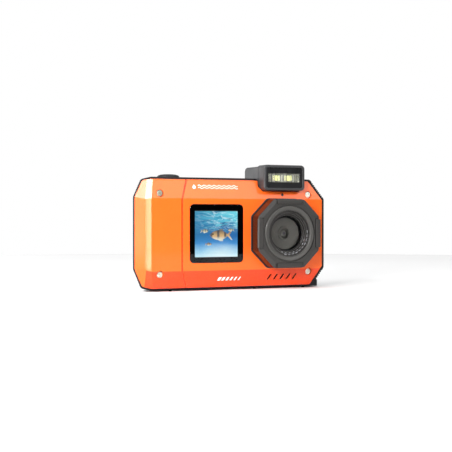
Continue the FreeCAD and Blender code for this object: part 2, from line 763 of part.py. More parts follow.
def make_flash_housing():
    """Hood behind the flash's front frame, rounded off at the back."""
    low, high = NOTCH_Z + 0.4, 67.5
    side = [(FLASH_SPLIT, low), (FLASH_SPLIT, high), (FLASH_BACK, high), (FLASH_BACK, low)]
    corners = [Vec(LENS_X - FLASH_HALF + 0.2, y, z) for y, z in side]
    block = Part.Face(Part.makePolygon(corners + corners[:1])).extrude(Vec(2 * FLASH_HALF - 0.4, 0, 0))
    block = fillet_where(
        block,
        2.6,
        lambda e: e.BoundBox.YMin > FLASH_BACK - 0.1 and e.BoundBox.ZMin > high - 0.1,
    )
    block = fillet_where(
        block,
        1.0,
        lambda e: e.BoundBox.ZMax > 62.0 and e.BoundBox.XLength < 0.1 and e.BoundBox.YMax > 7.0,
    )
    block = fillet_where(block, 2.2, lambda e: e.BoundBox.ZMax < 55.0 and e.BoundBox.YLength > 10.0)
    hollow = box((LENS_X - 11.2, LENS_X + 11.2), (FLASH_SPLIT - 1, FLASH_BACK - 1.4), (NOTCH_Z + 2.0, 64.5))
    return block.cut(hollow)


def make_flash_gasket():
    return box((LENS_X - 10.6, LENS_X + 10.6), (1.5, FLASH_BACK - 0.5), (NOTCH_Z, FLASH_Z[0]))


# ---------------------------------------------------------------- top buttons
def make_shutter_button():
    profile = [
        (0, 62.6),
        (2.4, 62.55),
        (4.2, 62.35),
        (5.3, 62.0),
        (5.85, 61.55),
        (SHUTTER_R, 61.0),
        (SHUTTER_R, 59.2),
        (4.6, 59.2),
        (4.6, 60.4),
        (1.2, 60.4),
        (1.2, DOME_TOP + SHUTTER_TRAVEL + 0.2),
        (0, DOME_TOP + SHUTTER_TRAVEL + 0.2),
    ]
    return turned_z(SHUTTER_X, BUTTON_DEPTH, profile)


def make_shutter_spring():
    """Return spring between the floor of the recess and the cap."""
    wire, coil, low, high, turns = 0.22, 3.2, 57.65, 60.15, 4
    helix = Part.makeHelix((high - low) / turns, high - low, coil)
    section = Part.Wire(Part.makeCircle(wire, Vec(coil, 0, 0), Vec(0, 1, 0)))
    spring = Part.Wire(helix).makePipeShell([section], True, True)
    spring.translate(Vec(SHUTTER_X, BUTTON_DEPTH, low))
    return spring


def make_shutter_seal():
    disc = cyl_z(SHUTTER_X, BUTTON_DEPTH, 2.1, 56.3, 57.2)
    return disc.cut(cyl_z(SHUTTER_X, BUTTON_DEPTH, 1.26, 56.0, 58.0))


def make_power_button():
    foot = DOME_TOP + POWER_TRAVEL + 0.2
    profile = [(0, 61.0), (2.7, 61.0), (POWER_R, 60.8), (POWER_R, 58.6), (1.0, 58.6), (1.0, foot), (0, foot)]
    return turned_z(POWER_X, BUTTON_DEPTH, profile)


def make_top_switch_board():
    board = box((SHUTTER_X - 6.0, POWER_X + 6.0), (9.6, 16.4), (52.6, 53.4))
    domes = [cyl_z(x, BUTTON_DEPTH, 2.0, 53.2, DOME_TOP) for x in (SHUTTER_X, POWER_X)]
    return joined(board, *domes)


# ---------------------------------------------------------------- back
def make_rear_screen_glass():
    width, height = REAR_GLASS
    return plate(REAR_SCREEN_X, MID_Z, width, height, 2.2, 23.4, 24.7)


def make_rear_screen_mask():
    width, height = REAR_GLASS
    outer = plate(REAR_SCREEN_X, MID_Z, width, height, 2.2, 23.2, 23.4)
    return outer.cut(plate(REAR_SCREEN_X, MID_Z, REAR_VIEW[0], REAR_VIEW[1], 0.2, 23.0, 24.0))


def make_rear_display():
    return plate(REAR_SCREEN_X, MID_Z, 59.3, 44.4, 0.5, 20.9, 23.2)


def make_status_light():
    return cyl_y(-33.0, 53.3, 0.8, 21.6, 24.9)


def make_key(x, z):
    """Domed key with a flange behind the cover and a stem over its switch."""
    profile = [
        (0, BACK_REACH),
        (1.8, BACK_REACH - 0.05),
        (3.1, BACK_REACH - 0.25),
        (3.9, BACK_REACH - 0.6),
        (KEY_R, BACK_REACH - 1.1),
        (KEY_R, 22.3),
        (KEY_R + 0.6, 22.3),
        (KEY_R + 0.6, 21.6),
        (1.3, 21.6),
        (1.3, KEY_DOME_DEPTH + KEY_TRAVEL + 0.1),
        (0, KEY_DOME_DEPTH + KEY_TRAVEL + 0.1),
    ]
    return turned_y(x, z, profile)


def key_spots():
    return [(x, z) for x in KEY_COLUMNS for z in KEY_ROWS]


def make_key_seals():
    rings = [ring_y(x, z, KEY_R + 0.05, KEY_R + 0.7, 22.6, 23.5) for x, z in key_spots()]
    return Part.makeCompound(rings)


def make_key_switch_board():
    low, high = KEY_COLUMNS[1] - 6.0, KEY_COLUMNS[0] + 6.0
    board = box((low, high), (19.2, 20.0), (11.0, 50.2))
    board = minus(board, *at_screws(lambda x, z: cyl_y(x, z, 3.4, 18.0, 22.0)))
    return joined(board, *[cyl_y(x, z, 2.2, 19.9, KEY_DOME_DEPTH) for x, z in key_spots()])


# ---------------------------------------------------------------- inside
def make_chassis_plate():
    room = prism(inset(CAVITY, [0.4] * len(CAVITY)), 1.5, 7.0, 9.0)
    sheet = box((-48.0, 48.0), (7.9, 8.7), (8.5, 51.8)).common(room)
    lightening = plate(-12.0, MID_Z, 24.0, 20.0, 3.0, 7.0, 10.0)
    return minus(sheet, lightening, *at_screws(lambda x, z: cyl_y(x, z, 3.3, 7.0, 10.0)))


def make_main_board():
    """Circuit board with a screened processor, memory and power parts."""
    board = box((-28.0, 48.5), (8.8, 9.8), (13.2, 48.2))
    board = board.cut(plate(-12.0, 28.0, 6.0, 6.0, 1.0, 8.0, 11.0))
    chips = [
        box((-26.0, -16.0), (9.8, 11.4), (32.0, 46.0)),
        box((-26.0, -18.0), (9.8, 10.8), (15.0, 25.0)),
        box((-6.0, 4.0), (9.8, 10.9), (34.0, 44.0)),
        box((-4.0, 3.0), (9.8, 11.6), (16.0, 24.0)),
    ]
    return joined(board, *[chip for chip in chips])


def make_usb_socket():
    shell = plate(0.0, 0.0, 8.9, 3.2, 1.5, 0.0, 7.4)
    shell = shell.cut(plate(0.0, 0.0, 8.3, 2.6, 1.25, 0.8, 8.0))
    tongue = box((-3.3, 3.3), (0.5, 6.6), (-0.35, 0.35))
    socket = joined(shell, tongue)
    socket.rotate(Vec(0, 0, 0), Vec(0, 1, 0), 90)
    socket.rotate(Vec(0, 0, 0), Vec(0, 0, 1), -90)
    socket.translate(Vec(41.5, 11.4, 43.3))
    return socket


def make_card_socket():
    shell = box((35.0, 49.0), (9.8, 11.5), (16.0, 29.0))
    return shell.cut(box((36.0, 50.0), (10.2, 11.1), (16.9, 28.1)))


def make_memory_card():
    return box((36.2, 50.2), (10.25, 10.95), (17.0, 28.0))


def make_battery_bay():
    outer = box((10.0, 48.8), (11.6, 18.9), (13.0, 38.4))
    return outer.cut(box((10.6, 50.0), (12.1, 18.4), (13.5, 37.9)))


def make_battery():
    block = box((11.0, 49.4), (12.3, 18.2), (13.7, 37.7))
    return fillet_where(block, 1.2, lambda e: e.BoundBox.XLength > 30.0)


def make_speaker():
    case = box((LENS_X - 9.0, LENS_X + 9.0), (4.6, 7.4), (4.8, 10.2))
    return case.cut(plate(LENS_X, 7.5, 15.0, 3.6, 1.0, 4.0, 5.1))


def make_microphone():
    return cyl_y(MIC_X, MIC_Z, MIC_R, 2.95, 4.8)


# ---------------------------------------------------------------- side door
TAPER_ANGLE = math.degrees(math.atan2(REAR_TAPER[5], REAR_JOIN - COVER_JOIN - RIM_DEPTH))
LOCK_Z = 40.5


def lock_block(width, height, reach_in, reach_out, lift):
    """Box lying on the door's sloped outside, centred on the lock."""
    middle = (DOOR_DEPTH[0] + DOOR_DEPTH[1]) / 2
    surface = HALF_WIDTH - math.tan(math.radians(TAPER_ANGLE)) * (middle - COVER_JOIN - RIM_DEPTH)
    block = box((-reach_in, reach_out), (-width / 2, width / 2), (-height / 2, height / 2))
    block.rotate(Vec(0, 0, 0), Vec(0, 0, 1), TAPER_ANGLE)
    block.translate(Vec(surface, middle, LOCK_Z + lift))
    return block


def make_battery_door():
    """Side door: outer skin, hinge knuckle and the raised plug that enters the mouth."""
    skin = frame_body(0.0).cut(frame_body(DOOR_THICK))
    panel = skin.common(box((45.0, 62.0), DOOR_DEPTH, (5.4, DOOR_TOP)))
    knuckle = cyl_y(HINGE_X, HINGE_Z, HINGE_R, 11.7, 16.3)
    arm = sharp_prism([(49.7, 3.6), (49.7, 6.0), (51.4, 7.2), (53.3, 2.9), (51.2, 0.7)], 11.7, 16.3)
    plug_space = frame_body(DOOR_THICK - 0.3)
    plug = box((50.6, 58.0), (10.4, 18.2), (13.0, 47.5)).common(plug_space)
    plug = plug.cut(box((49.0, 52.6), (11.5, 17.1), (14.1, 46.4)))
    door = joined(panel, knuckle, arm, plug)
    rim = box((50.0, 53.4), (9.0, 19.0), (12.0, 48.0)).cut(box((50.0, 53.4), (10.6, 18.0), (13.2, 47.3)))
    tools = [
        cyl_y(HINGE_X, HINGE_Z, 0.75, 5.0, 22.0),
        lock_block(6.6, 9.4, 1.2, 3.0, 1.0),
        box((52.95, 54.15), (12.45, 15.15), (LOCK_Z, DOOR_TOP + 1.0)),
        rim.common(box((51.4, 52.3), (9.0, 19.0), (12.0, 48.0))),
    ]
    return minus(door, *tools)


def make_door_seal():
    outer = box((51.45, 52.25), (10.25, 18.35), (12.85, 47.65))
    return outer.cut(box((50.0, 54.0), (10.6, 18.0), (13.2, 47.3)))


def make_door_hinge_pin():
    return cyl_y(HINGE_X, HINGE_Z, 0.7, HINGE_PIN[0], HINGE_PIN[1])


def make_door_lock():
    """Sliding lock: a ribbed finger pad and a flat tongue above it."""
    pad = lock_block(6.2, 7.0, 1.1, 0.7, 0.0)
    for i in range(-2, 3):
        pad = pad.cut(lock_block(7.0, 0.5, -0.3, 2.0, 1.2 * i))
    tongue = box((53.1, 54.0), (12.6, 15.0), (LOCK_Z, DOOR_TOP - 0.1))
    return joined(pad, tongue)


# ---------------------------------------------------------------- writing
def write(name, shape):
    """Moves a piece from depth coordinates to the camera's frame and writes it."""
    placed = shape.copy()
    placed.translate(Vec(0, FACE_Y, 0))
    placed.exportStep(os.path.join("parts", name + ".step"))
    solids = placed.Solids
    volume = sum(s.Volume for s in solids)
    print("%-20s solids %d volume %9.2f valid %s" % (name, len(solids), volume, placed.isValid()))


PIECES = {
    "front_cover": make_front_cover,
    "front_seal": make_front_seal,
    "middle_frame": make_middle_frame,
    "rear_seal": make_rear_seal,
    "rear_cover": make_rear_cover,
    "cover_screws": make_cover_screws,
    "base_feet": make_base_feet,
    "tripod_bush": make_tripod_bush,
    "strap_pin": make_strap_pin,
    "lens_housing": make_lens_housing,
    "lens_port_seal": make_lens_port_seal,
    "lens_bezel": make_lens_bezel,
    "lens_ring": make_lens_ring,
    "lens_baffle": make_lens_baffle,
    "port_window": make_port_window,
    "window_seal": make_window_seal,
    "lens_face_plate": make_lens_face_plate,
    "lens_cell": make_lens_cell,
    "front_lens": make_front_lens,
    "image_sensor": make_image_sensor,
    "front_screen_glass": make_front_screen_glass,
    "front_screen_mask": make_front_screen_mask,
    "front_display": make_front_display,
    "flash_bezel": make_flash_bezel,
    "flash_faceplate": make_flash_faceplate,
    "flash_window": make_flash_window,
    "flash_reflector": make_flash_reflector,
    "flash_leds": make_flash_leds,
    "flash_housing": make_flash_housing,
    "flash_gasket": make_flash_gasket,
    "shutter_button": make_shutter_button,
    "shutter_spring": make_shutter_spring,
    "shutter_seal": make_shutter_seal,
    "power_button": make_power_button,
    "top_switch_board": make_top_switch_board,
    "rear_screen_glass": make_rear_screen_glass,
    "rear_screen_mask": make_rear_screen_mask,
    "rear_display": make_rear_display,
    "status_light": make_status_light,
    "key_seals": make_key_seals,
    "key_switch_board": make_key_switch_board,
    "chassis_plate": make_chassis_plate,
    "main_board": make_main_board,
    "usb_socket": make_usb_socket,
    "card_socket": make_card_socket,
    "memory_card": make_memory_card,
    "battery_bay": make_battery_bay,
    "battery": make_battery,
    "speaker": make_speaker,
    "microphone": make_microphone,
    "battery_door": make_battery_door,
    "door_seal": make_door_seal,
    "door_hinge_pin": make_door_hinge_pin,
    "door_lock": make_door_lock,
}

os.makedirs("parts", exist_ok=True)
for piece_name, make_piece in PIECES.items():
    write(piece_name, make_piece())
for key_name, (key_x, key_z) in zip(KEY_NAMES, key_spots()):
    write(key_name, make_key(key_x, key_z))
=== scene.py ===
"""Looks for the rugged waterproof compact camera: materials, printed marks, key symbols, stage and camera.

Everything is in metres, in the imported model's frame: +X to the right when facing the lens, +Y towards the
back, +Z up. The object's own lengths are written in millimetres and multiplied by MM.
"""

import json
import math

import bmesh
import bpy
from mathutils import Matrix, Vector
from mathutils.bvhtree import BVHTree


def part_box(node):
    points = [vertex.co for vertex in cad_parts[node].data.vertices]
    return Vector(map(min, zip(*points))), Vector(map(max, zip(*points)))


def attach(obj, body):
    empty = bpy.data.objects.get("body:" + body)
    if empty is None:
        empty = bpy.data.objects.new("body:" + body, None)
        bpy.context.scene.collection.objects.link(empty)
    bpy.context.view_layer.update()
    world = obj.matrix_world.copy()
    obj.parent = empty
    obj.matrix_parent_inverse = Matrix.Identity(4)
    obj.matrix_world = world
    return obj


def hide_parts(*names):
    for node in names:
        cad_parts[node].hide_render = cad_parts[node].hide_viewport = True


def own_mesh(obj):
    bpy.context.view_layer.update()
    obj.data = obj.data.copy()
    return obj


MM = 0.001
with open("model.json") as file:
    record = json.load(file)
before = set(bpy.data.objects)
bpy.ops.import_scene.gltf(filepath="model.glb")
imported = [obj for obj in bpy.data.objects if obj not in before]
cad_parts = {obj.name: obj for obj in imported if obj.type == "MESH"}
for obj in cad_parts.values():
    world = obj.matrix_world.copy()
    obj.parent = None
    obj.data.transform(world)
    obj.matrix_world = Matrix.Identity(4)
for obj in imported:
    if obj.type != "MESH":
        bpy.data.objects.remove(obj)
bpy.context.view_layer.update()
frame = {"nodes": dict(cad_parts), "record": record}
nodes = frame["nodes"]


def centre(node):
    """Middle of a CAD node's box, in metres."""
    low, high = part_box(node)
    return (low + high) / 2


def size(node):
    """Side lengths of a CAD node's box, in metres."""
    low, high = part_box(node)
    return high - low


# ---------------------------------------------------------------- material building
class Look:
    """One node material. Its texture space is the model's own, in millimetres."""

    def __init__(self, name, **shader_values):
        self.material = bpy.data.materials.new(name)
        self.material.use_nodes = True
        self.tree = self.material.node_tree
        self.tree.nodes.clear()
        self.shader = self.add("ShaderNodeBsdfPrincipled")
        output = self.add("ShaderNodeOutputMaterial")
        self.tree.links.new(self.shader.outputs[0], output.inputs["Surface"])
        self.mm = self.vector("SCALE", self.add("ShaderNodeTexCoord").outputs["Object"], scale=1 / MM)
        for key, value in shader_values.items():
            self.shade(key.replace("_", " "), value)

    def add(self, kind, **settings):
        node = self.tree.nodes.new(kind)
        for key, value in settings.items():
            setattr(node, key, value)
        return node

    def feed(self, socket, value):
        """Links a socket to another, or sets its constant."""
        if isinstance(value, bpy.types.NodeSocket):
            self.tree.links.new(value, socket)
        elif isinstance(value, (tuple, list)) and socket.type == "RGBA" and len(value) == 3:
            socket.default_value = (*value, 1.0)
        else:
            socket.default_value = value

    def shade(self, name, value):
        """Sets a principled input by name."""
        self.feed(self.shader.inputs[name], value)

    def math(self, operation, a, b=0.0, c=0.0, clamp=False):
        node = self.add("ShaderNodeMath", operation=operation, use_clamp=clamp)
        for socket, value in zip(node.inputs, (a, b, c)):
            self.feed(socket, value)
        return node.outputs[0]

    def distance(self, value, place):
        """How far a value is from a place, on either side."""
        return self.math("ABSOLUTE", self.math("SUBTRACT", value, place))

    def wave(self, value, rate):
        """Sine of a value, with the rate in radians per unit."""
        return self.math("SINE", self.math("MULTIPLY", value, rate))

    def vector(self, operation, a, b=(0.0, 0.0, 0.0), scale=1.0):
        node = self.add("ShaderNodeVectorMath", operation=operation)
        self.feed(node.inputs[0], a)
        if operation == "SCALE":
            self.feed(node.inputs["Scale"], scale)
        elif operation != "LENGTH":
            self.feed(node.inputs[1], b)
        return node.outputs["Value"] if operation in ("DOT_PRODUCT", "LENGTH") else node.outputs[0]

    def axes(self):
        """The three millimetre coordinates as separate values."""
        return self.tree_outputs("ShaderNodeSeparateXYZ", self.mm)

    def tree_outputs(self, kind, value):
        node = self.add(kind)
        self.feed(node.inputs[0], value)
        return node.outputs

    def point(self, x=0.0, y=0.0, z=0.0):
        node = self.add("ShaderNodeCombineXYZ")
        for socket, value in zip(node.inputs, (x, y, z)):
            self.feed(socket, value)
        return node.outputs[0]

    def reach_from(self, middle):
        """Distance from a front-to-back axis through a point, in millimetres."""
        x, _, z = self.axes()
        across = self.math("SUBTRACT", x, middle.x)
        up = self.math("SUBTRACT", z, middle.z)
        return self.vector("LENGTH", self.point(across, 0.0, up))

    def noise(self, size_mm, detail=2.0, space=None, stretch=None):
        """Noise between 0 and 1 with features about size_mm across."""
        space = space or self.mm
        if stretch:
            space = self.vector("MULTIPLY", space, stretch)
        node = self.add("ShaderNodeTexNoise")
        self.feed(node.inputs["Vector"], space)
        node.inputs["Scale"].default_value = 1 / size_mm
        node.inputs["Detail"].default_value = detail
        return node.outputs["Fac"]

    def cells(self, size_mm, space=None, feature="F1", output="Distance"):
        node = self.add("ShaderNodeTexVoronoi", feature=feature)
        self.feed(node.inputs["Vector"], space or self.mm)
        node.inputs["Scale"].default_value = 1 / size_mm
        return node.outputs[output]

    def span(self, value, from_low, from_high, to_low=0.0, to_high=1.0, smooth=False):
        """Maps a value from one range to another, clamped."""
        node = self.add("ShaderNodeMapRange", interpolation_type="SMOOTHSTEP" if smooth else "LINEAR")
        names = ("Value", "From Min", "From Max", "To Min", "To Max")
        for name, given in zip(names, (value, from_low, from_high, to_low, to_high)):
            self.feed(node.inputs[name], given)
        return node.outputs[0]

    def blend(self, share, a, b, mode="MIX"):
        """Mixes two colours."""
        node = self.add("ShaderNodeMix", data_type="RGBA", blend_type=mode)
        self.feed(node.inputs["Factor"], share)
        self.feed(node.inputs[6], a)
        self.feed(node.inputs[7], b)
        return node.outputs[2]

    def ramp(self, value, stops):
        """Colour ramp from (place, colour) stops."""
        node = self.add("ShaderNodeValToRGB")
        self.feed(node.inputs[0], value)
        elements = node.color_ramp.elements
        while len(elements) < len(stops):
            elements.new(0.5)
        for element, (place, colour) in zip(elements, stops):
            element.position = place
            element.color = (*colour, 1.0)
        return node.outputs[0]

    def edges(self, radius_mm=0.3):
        """Rounded-edge normal, and a mask that rises along sharp edges."""
        bevel = self.add("ShaderNodeBevel", samples=6)
        bevel.inputs["Radius"].default_value = radius_mm * MM
        geometry = self.add("ShaderNodeNewGeometry")
        alike = self.vector("DOT_PRODUCT", bevel.outputs[0], geometry.outputs["Normal"])
        return bevel.outputs[0], self.span(alike, 0.995, 0.86)

    def normal_parts(self):
        """The three parts of the surface's own direction as separate values."""
        geometry = self.add("ShaderNodeNewGeometry")
        return self.tree_outputs("ShaderNodeSeparateXYZ", geometry.outputs["Normal"])

    def facing_front(self):
        """1 where the surface faces the front or the back, 0 on side walls."""
        return self.span(self.math("ABSOLUTE", self.normal_parts()["Y"]), 0.25, 0.45)

    def facing_down(self):
        """1 where the surface leans down, as the bottom bevel does, except at the left corner."""
        parts = self.normal_parts()
        return self.math("MULTIPLY", self.span(parts["Z"], -0.08, -0.28), self.span(parts["X"], -0.66, -0.52))

    def bump(self, height, depth_mm, normal=None, strength=1.0):
        node = self.add("ShaderNodeBump")
        node.inputs["Strength"].default_value = strength
        node.inputs["Distance"].default_value = depth_mm * MM
        self.feed(node.inputs["Height"], height)
        if normal:
            self.feed(node.inputs["Normal"], normal)
        self.shade("Normal", node.outputs[0])
        return node.outputs[0]


def scaled(colour, factor):
    """A colour made lighter or darker."""
    return tuple(min(1.0, c * factor) for c in colour)


def moulded(name, colour, roughness, grain_mm=0.35, grain_depth=0.012, mottle=0.10, wear=1.6, edge_mm=0.3,
            painted_shade_polished_sides=False, **values):
    """Moulded plastic or rubber: pitted grain, slow colour drift, handling marks and paler worn edges.

    When asked, walls that don't face front or back get painted shade, a much darker colour,
    and are shinier, as a polished tool leaves them.
    """
    look = Look(name, **values)
    grain = look.noise(grain_mm, 3.0)
    pits = look.span(look.cells(grain_mm * 1.7), 0.0, 0.5)
    drift = look.noise(9.0, 3.0)
    smear = look.noise(4.0, 4.0, stretch=(1.0, 1.0, 0.35))
    normal, edge = look.edges(edge_mm)
    scuffed = look.math("MULTIPLY", edge, look.span(look.noise(1.1, 3.0), 0.42, 0.62))
    tone = look.blend(drift, scaled(colour, 1 - mottle), scaled(colour, 1 + mottle))
    tone = look.blend(look.math("MULTIPLY", pits, 0.10), tone, scaled(colour, 0.7))
    tone = look.blend(look.math("MULTIPLY", scuffed, 0.45), tone, scaled(colour, wear))
    rough = look.span(smear, 0.3, 0.7, roughness - 0.06, roughness + 0.07)
    rough = look.math("SUBTRACT", rough, look.math("MULTIPLY", edge, 0.08))
    if painted_shade_polished_sides:
        front = look.facing_front()
        # Painted shade: walls that don't face front or back are darkened to 0.12 of the colour.
        tone = look.blend(front, scaled(colour, 0.12), tone)
        rough = look.math("ADD", look.math("MULTIPLY", front, look.math("SUBTRACT", rough, 0.14)), 0.14)
    look.shade("Base Color", tone)
    look.shade("Roughness", rough)
    height = look.math("ADD", look.math("MULTIPLY", grain, 0.7), look.math("MULTIPLY", pits, 0.3))
    look.bump(height, grain_depth, normal)
    return look


def metal(name, colour, roughness, grain=(1.0, 1.0, 12.0), line_mm=0.8, values=None):
    """Worked metal: fine drawn lines, oil-darkened patches and brighter edges."""
    look = Look(name, Metallic=1.0, **(values or {}))
    lines = look.noise(line_mm, 4.0, stretch=grain)
    patches = look.noise(2.4, 3.0)
    normal, edge = look.edges(0.12)
    tone = look.blend(look.span(patches, 0.35, 0.7), scaled(colour, 0.82), colour)
    look.shade("Base Color", look.blend(look.math("MULTIPLY", edge, 0.6), tone, scaled(colour, 1.25)))
    look.shade("Roughness", look.span(lines, 0.3, 0.7, roughness - 0.08, roughness + 0.12))
    look.bump(lines, 0.008, normal)
    return look


# ---------------------------------------------------------------- named materials
LAMP_OFFSET = 3.6  # each lamp's distance from the middle of the lamp board, in millimetres
BLACK = (0.032, 0.032, 0.034)
PORT_BLACK = (0.032, 0.030, 0.028)
RING_GREY = (0.052, 0.050, 0.046)
RUBBER = (0.014, 0.014, 0.016)

# The front cover's two long bevels, in millimetres: lower and upper height of each, and their depth.
LOW_BEVEL_Z, TOP_BEVEL_Z, BEVEL_DEEP = (1.75, 10.9), (49.4, 59.6), 3.0
# The grip seam's place across, in millimetres: between the bevels, and at their outer edges.
SEAM_KNEE, SEAM_FOOT = -32.1, -28.3


def grip_seam(look):
    """1 in the groove that sets off the grip end, which leans inwards over both bevels; the cover paints
    shade there.
    """
    x, _, z = look.axes()
    shift = SEAM_FOOT - SEAM_KNEE
    lean = look.math("MULTIPLY_ADD", look.span(z, LOW_BEVEL_Z[1], LOW_BEVEL_Z[0]), shift, SEAM_KNEE)
    lean = look.math("MULTIPLY_ADD", look.span(z, *TOP_BEVEL_Z), shift, lean)
    return look.span(look.distance(x, lean), 0.62, 0.42)


def cover_orange():
    """Orange satin paint over moulded plastic, with a very fine flake under a thin clear coat."""
    look = Look("cover_orange", Coat_Weight=0.6, Coat_Roughness=0.06, Specular_IOR_Level=0.15)
    flake = look.cells(0.16, output="Color")
    flake = look.tree_outputs("ShaderNodeSeparateColor", flake)[0]
    drift = look.noise(14.0, 3.0)
    peel = look.noise(0.9, 2.0)
    smear = look.noise(5.0, 4.0, stretch=(1.0, 1.0, 0.3))
    normal, edge = look.edges(0.35)
    tone = look.blend(drift, (0.86, 0.108, 0.010), (0.90, 0.128, 0.013))
    # Painted shade: faces that lean down, as the bottom bevel does, are painted a deeper, darker orange.
    tone = look.blend(look.facing_down(), tone, (0.74, 0.045, 0.004))
    # Painted shade: the grip groove is painted a darker, redder orange.
    tone = look.blend(grip_seam(look), tone, (0.72, 0.050, 0.005))
    tone = look.blend(look.span(flake, 0.75, 1.0, 0.0, 0.25), tone, (1.0, 0.24, 0.045))
    scuffed = look.math("MULTIPLY", edge, look.span(look.noise(0.8, 3.0), 0.45, 0.60))
    look.shade("Base Color", look.blend(look.math("MULTIPLY", scuffed, 0.30), tone, (1.0, 0.34, 0.10)))
    look.shade("Roughness", look.span(smear, 0.3, 0.7, 0.30, 0.40))
    look.shade("Metallic", look.span(flake, 0.8, 1.0, 0.0, 0.25))
    look.bump(peel, 0.010, normal)
    return look.material


def screw_metal():
    """Turned screw heads: fine rings about each screw's own axis."""
    look = Look("screw_steel", Metallic=0.6)
    middle, half = centre("cover_screws") / MM, size("cover_screws") / MM / 2
    x, _, z = look.axes()
    head_radius = 1.75
    dx = look.math("SUBTRACT", look.distance(x, middle.x), half.x - head_radius)
    dz = look.math("SUBTRACT", look.distance(z, middle.z), half.z - head_radius)
    reach = look.vector("LENGTH", look.point(dx, 0.0, dz))
    rings = look.wave(reach, 42.0)
    normal, edge = look.edges(0.12)
    dirt = look.noise(0.6, 3.0)
    tone = look.blend(look.span(dirt, 0.35, 0.65), (0.54, 0.56, 0.45), (0.86, 0.89, 0.76))
    # Painted highlight: the screw heads are painted paler towards the right.
    tone = look.blend(look.span(x, -10.0, 10.0, 0.0, 0.85), tone, (0.96, 0.97, 0.88))
    # Painted shade: the upper left screw is painted much darker.
    painted_shade_upper_left = look.math("MULTIPLY", look.span(z, 20.0, 45.0), look.span(x, 10.0, -10.0, 0.0, 0.6))
    tone = look.blend(painted_shade_upper_left, tone, (0.14, 0.14, 0.10))
    look.shade("Base Color", look.blend(edge, tone, (0.92, 0.93, 0.86)))
    look.shade("Roughness", look.span(dirt, 0.3, 0.7, 0.42, 0.58))
    look.bump(rings, 0.004, normal)
    return look.material


def optical_glass(name, tint, coat_tint, smudge=0.03):
    """Coated glass with faint wiping marks."""
    look = Look(name, Transmission_Weight=1.0, IOR=1.42, Specular_IOR_Level=0.35)
    look.shade("Specular Tint", (*coat_tint, 1.0))
    marks = look.noise(3.0, 5.0, stretch=(1.0, 1.0, 0.25))
    dust = look.span(look.cells(0.9), 0.06, 0.0)
    look.shade("Base Color", look.blend(look.math("MULTIPLY", dust, 0.15), tint, scaled(tint, 0.7)))
    look.shade("Roughness", look.span(marks, 0.45, 0.75, 0.0, smudge))
    look.bump(look.noise(2.0, 1.0), 0.0004)
    return look.material


def coated_lens():
    """Small coated lens: smoke-grey glass, its centre painted darker and faintly violet as painted shade and
    a painted coating sheen.
    """
    look = Look("coated_lens", Transmission_Weight=0.2, IOR=1.5, Coat_Weight=0.4, Coat_Roughness=0.02)
    reach = look.reach_from(centre("front_lens") / MM)
    # Painted shade and sheen: the centre is painted darker and faintly violet.
    tone = look.blend(look.span(reach, 1.1, 0.6), (0.22, 0.22, 0.20), (0.09, 0.085, 0.10))
    dust = look.span(look.cells(0.5), 0.06, 0.0)
    look.shade("Base Color", look.blend(look.math("MULTIPLY", dust, 0.3), tone, (0.25, 0.25, 0.24)))
    look.shade("Roughness", look.span(look.noise(1.0, 3.0), 0.4, 0.7, 0.04, 0.12))
    look.bump(look.noise(1.5, 1.0), 0.0006)
    return look.material


def fish_mask(look, u, v, place, length, height, facing):
    """Soft-edged side view of a plain fish: pointed oval body, back and belly fins, forked tail."""
    du = look.math("MULTIPLY", look.math("SUBTRACT", u, place[0]), facing / length)
    dv = look.math("MULTIPLY", look.math("SUBTRACT", v, place[1]), 1 / height)
    along, across = look.math("ABSOLUTE", du), look.math("ABSOLUTE", dv)
    oval = look.math("ADD", look.math("POWER", along, 1.8), look.math("POWER", across, 1.5))
    body = look.span(oval, 1.08, 0.90)
    fin_edge = look.math("ADD", look.math("MULTIPLY", du, 0.9), look.math("MULTIPLY", across, 0.75))
    fin = look.math("MULTIPLY", look.span(fin_edge, 0.86, 0.80), look.span(du, -0.50, -0.42))
    fin = look.math("MULTIPLY", fin, look.span(across, 1.28, 1.18))
    fin = look.math("MULTIPLY", fin, look.span(du, 0.30, 0.24))
    behind = look.math("SUBTRACT", look.math("MULTIPLY", du, -1.0), 0.84)
    fork = look.math("SUBTRACT", look.math("MULTIPLY", behind, 1.9), across)
    notch = look.math("SUBTRACT", look.math("MULTIPLY", across, 0.35), look.math("SUBTRACT", behind, 0.34))
    tail = look.math("MULTIPLY", look.span(fork, -0.02, 0.10), look.span(notch, -0.02, 0.05))
    tail = look.math("MULTIPLY", tail, look.span(across, 1.05, 0.95))
    return look.math("MAXIMUM", look.math("MAXIMUM", body, tail), look.math("MULTIPLY", fin, 0.85)), du, dv


def fish_skin(look, du, dv, flat, body_colour, band_colour):
    """Banded skin with a darker back, a pale belly and a round eye, in the fish's own coordinates."""
    ragged = look.math("ADD", du, look.math("MULTIPLY", look.noise(0.05, 3.0, flat), 0.25))
    bands = look.span(look.wave(ragged, 8.0), 0.25, 0.75)
    back = look.span(dv, -0.1, 0.9)
    skin = look.blend(look.math("MULTIPLY", bands, 0.85), body_colour, band_colour)
    skin = look.blend(look.span(dv, -0.2, -0.9), skin, (0.86, 0.82, 0.66))
    skin = look.blend(look.math("MULTIPLY", back, 0.75), skin, scaled(band_colour, 0.8))
    eye_u = look.math("SUBTRACT", du, 0.66)
    eye_v = look.math("MULTIPLY", look.math("SUBTRACT", dv, 0.2), 0.5)
    eye = look.vector("LENGTH", look.point(eye_u, eye_v, 0.0))
    return look.blend(look.span(eye, 0.10, 0.07), skin, (0.01, 0.01, 0.02))


# Half the lit width and height of each panel, in millimetres. What lies beyond is unlit border.
PICTURE_HALF = {"front_display": (12.6, 12.6), "rear_display": (28.4, 21.4)}


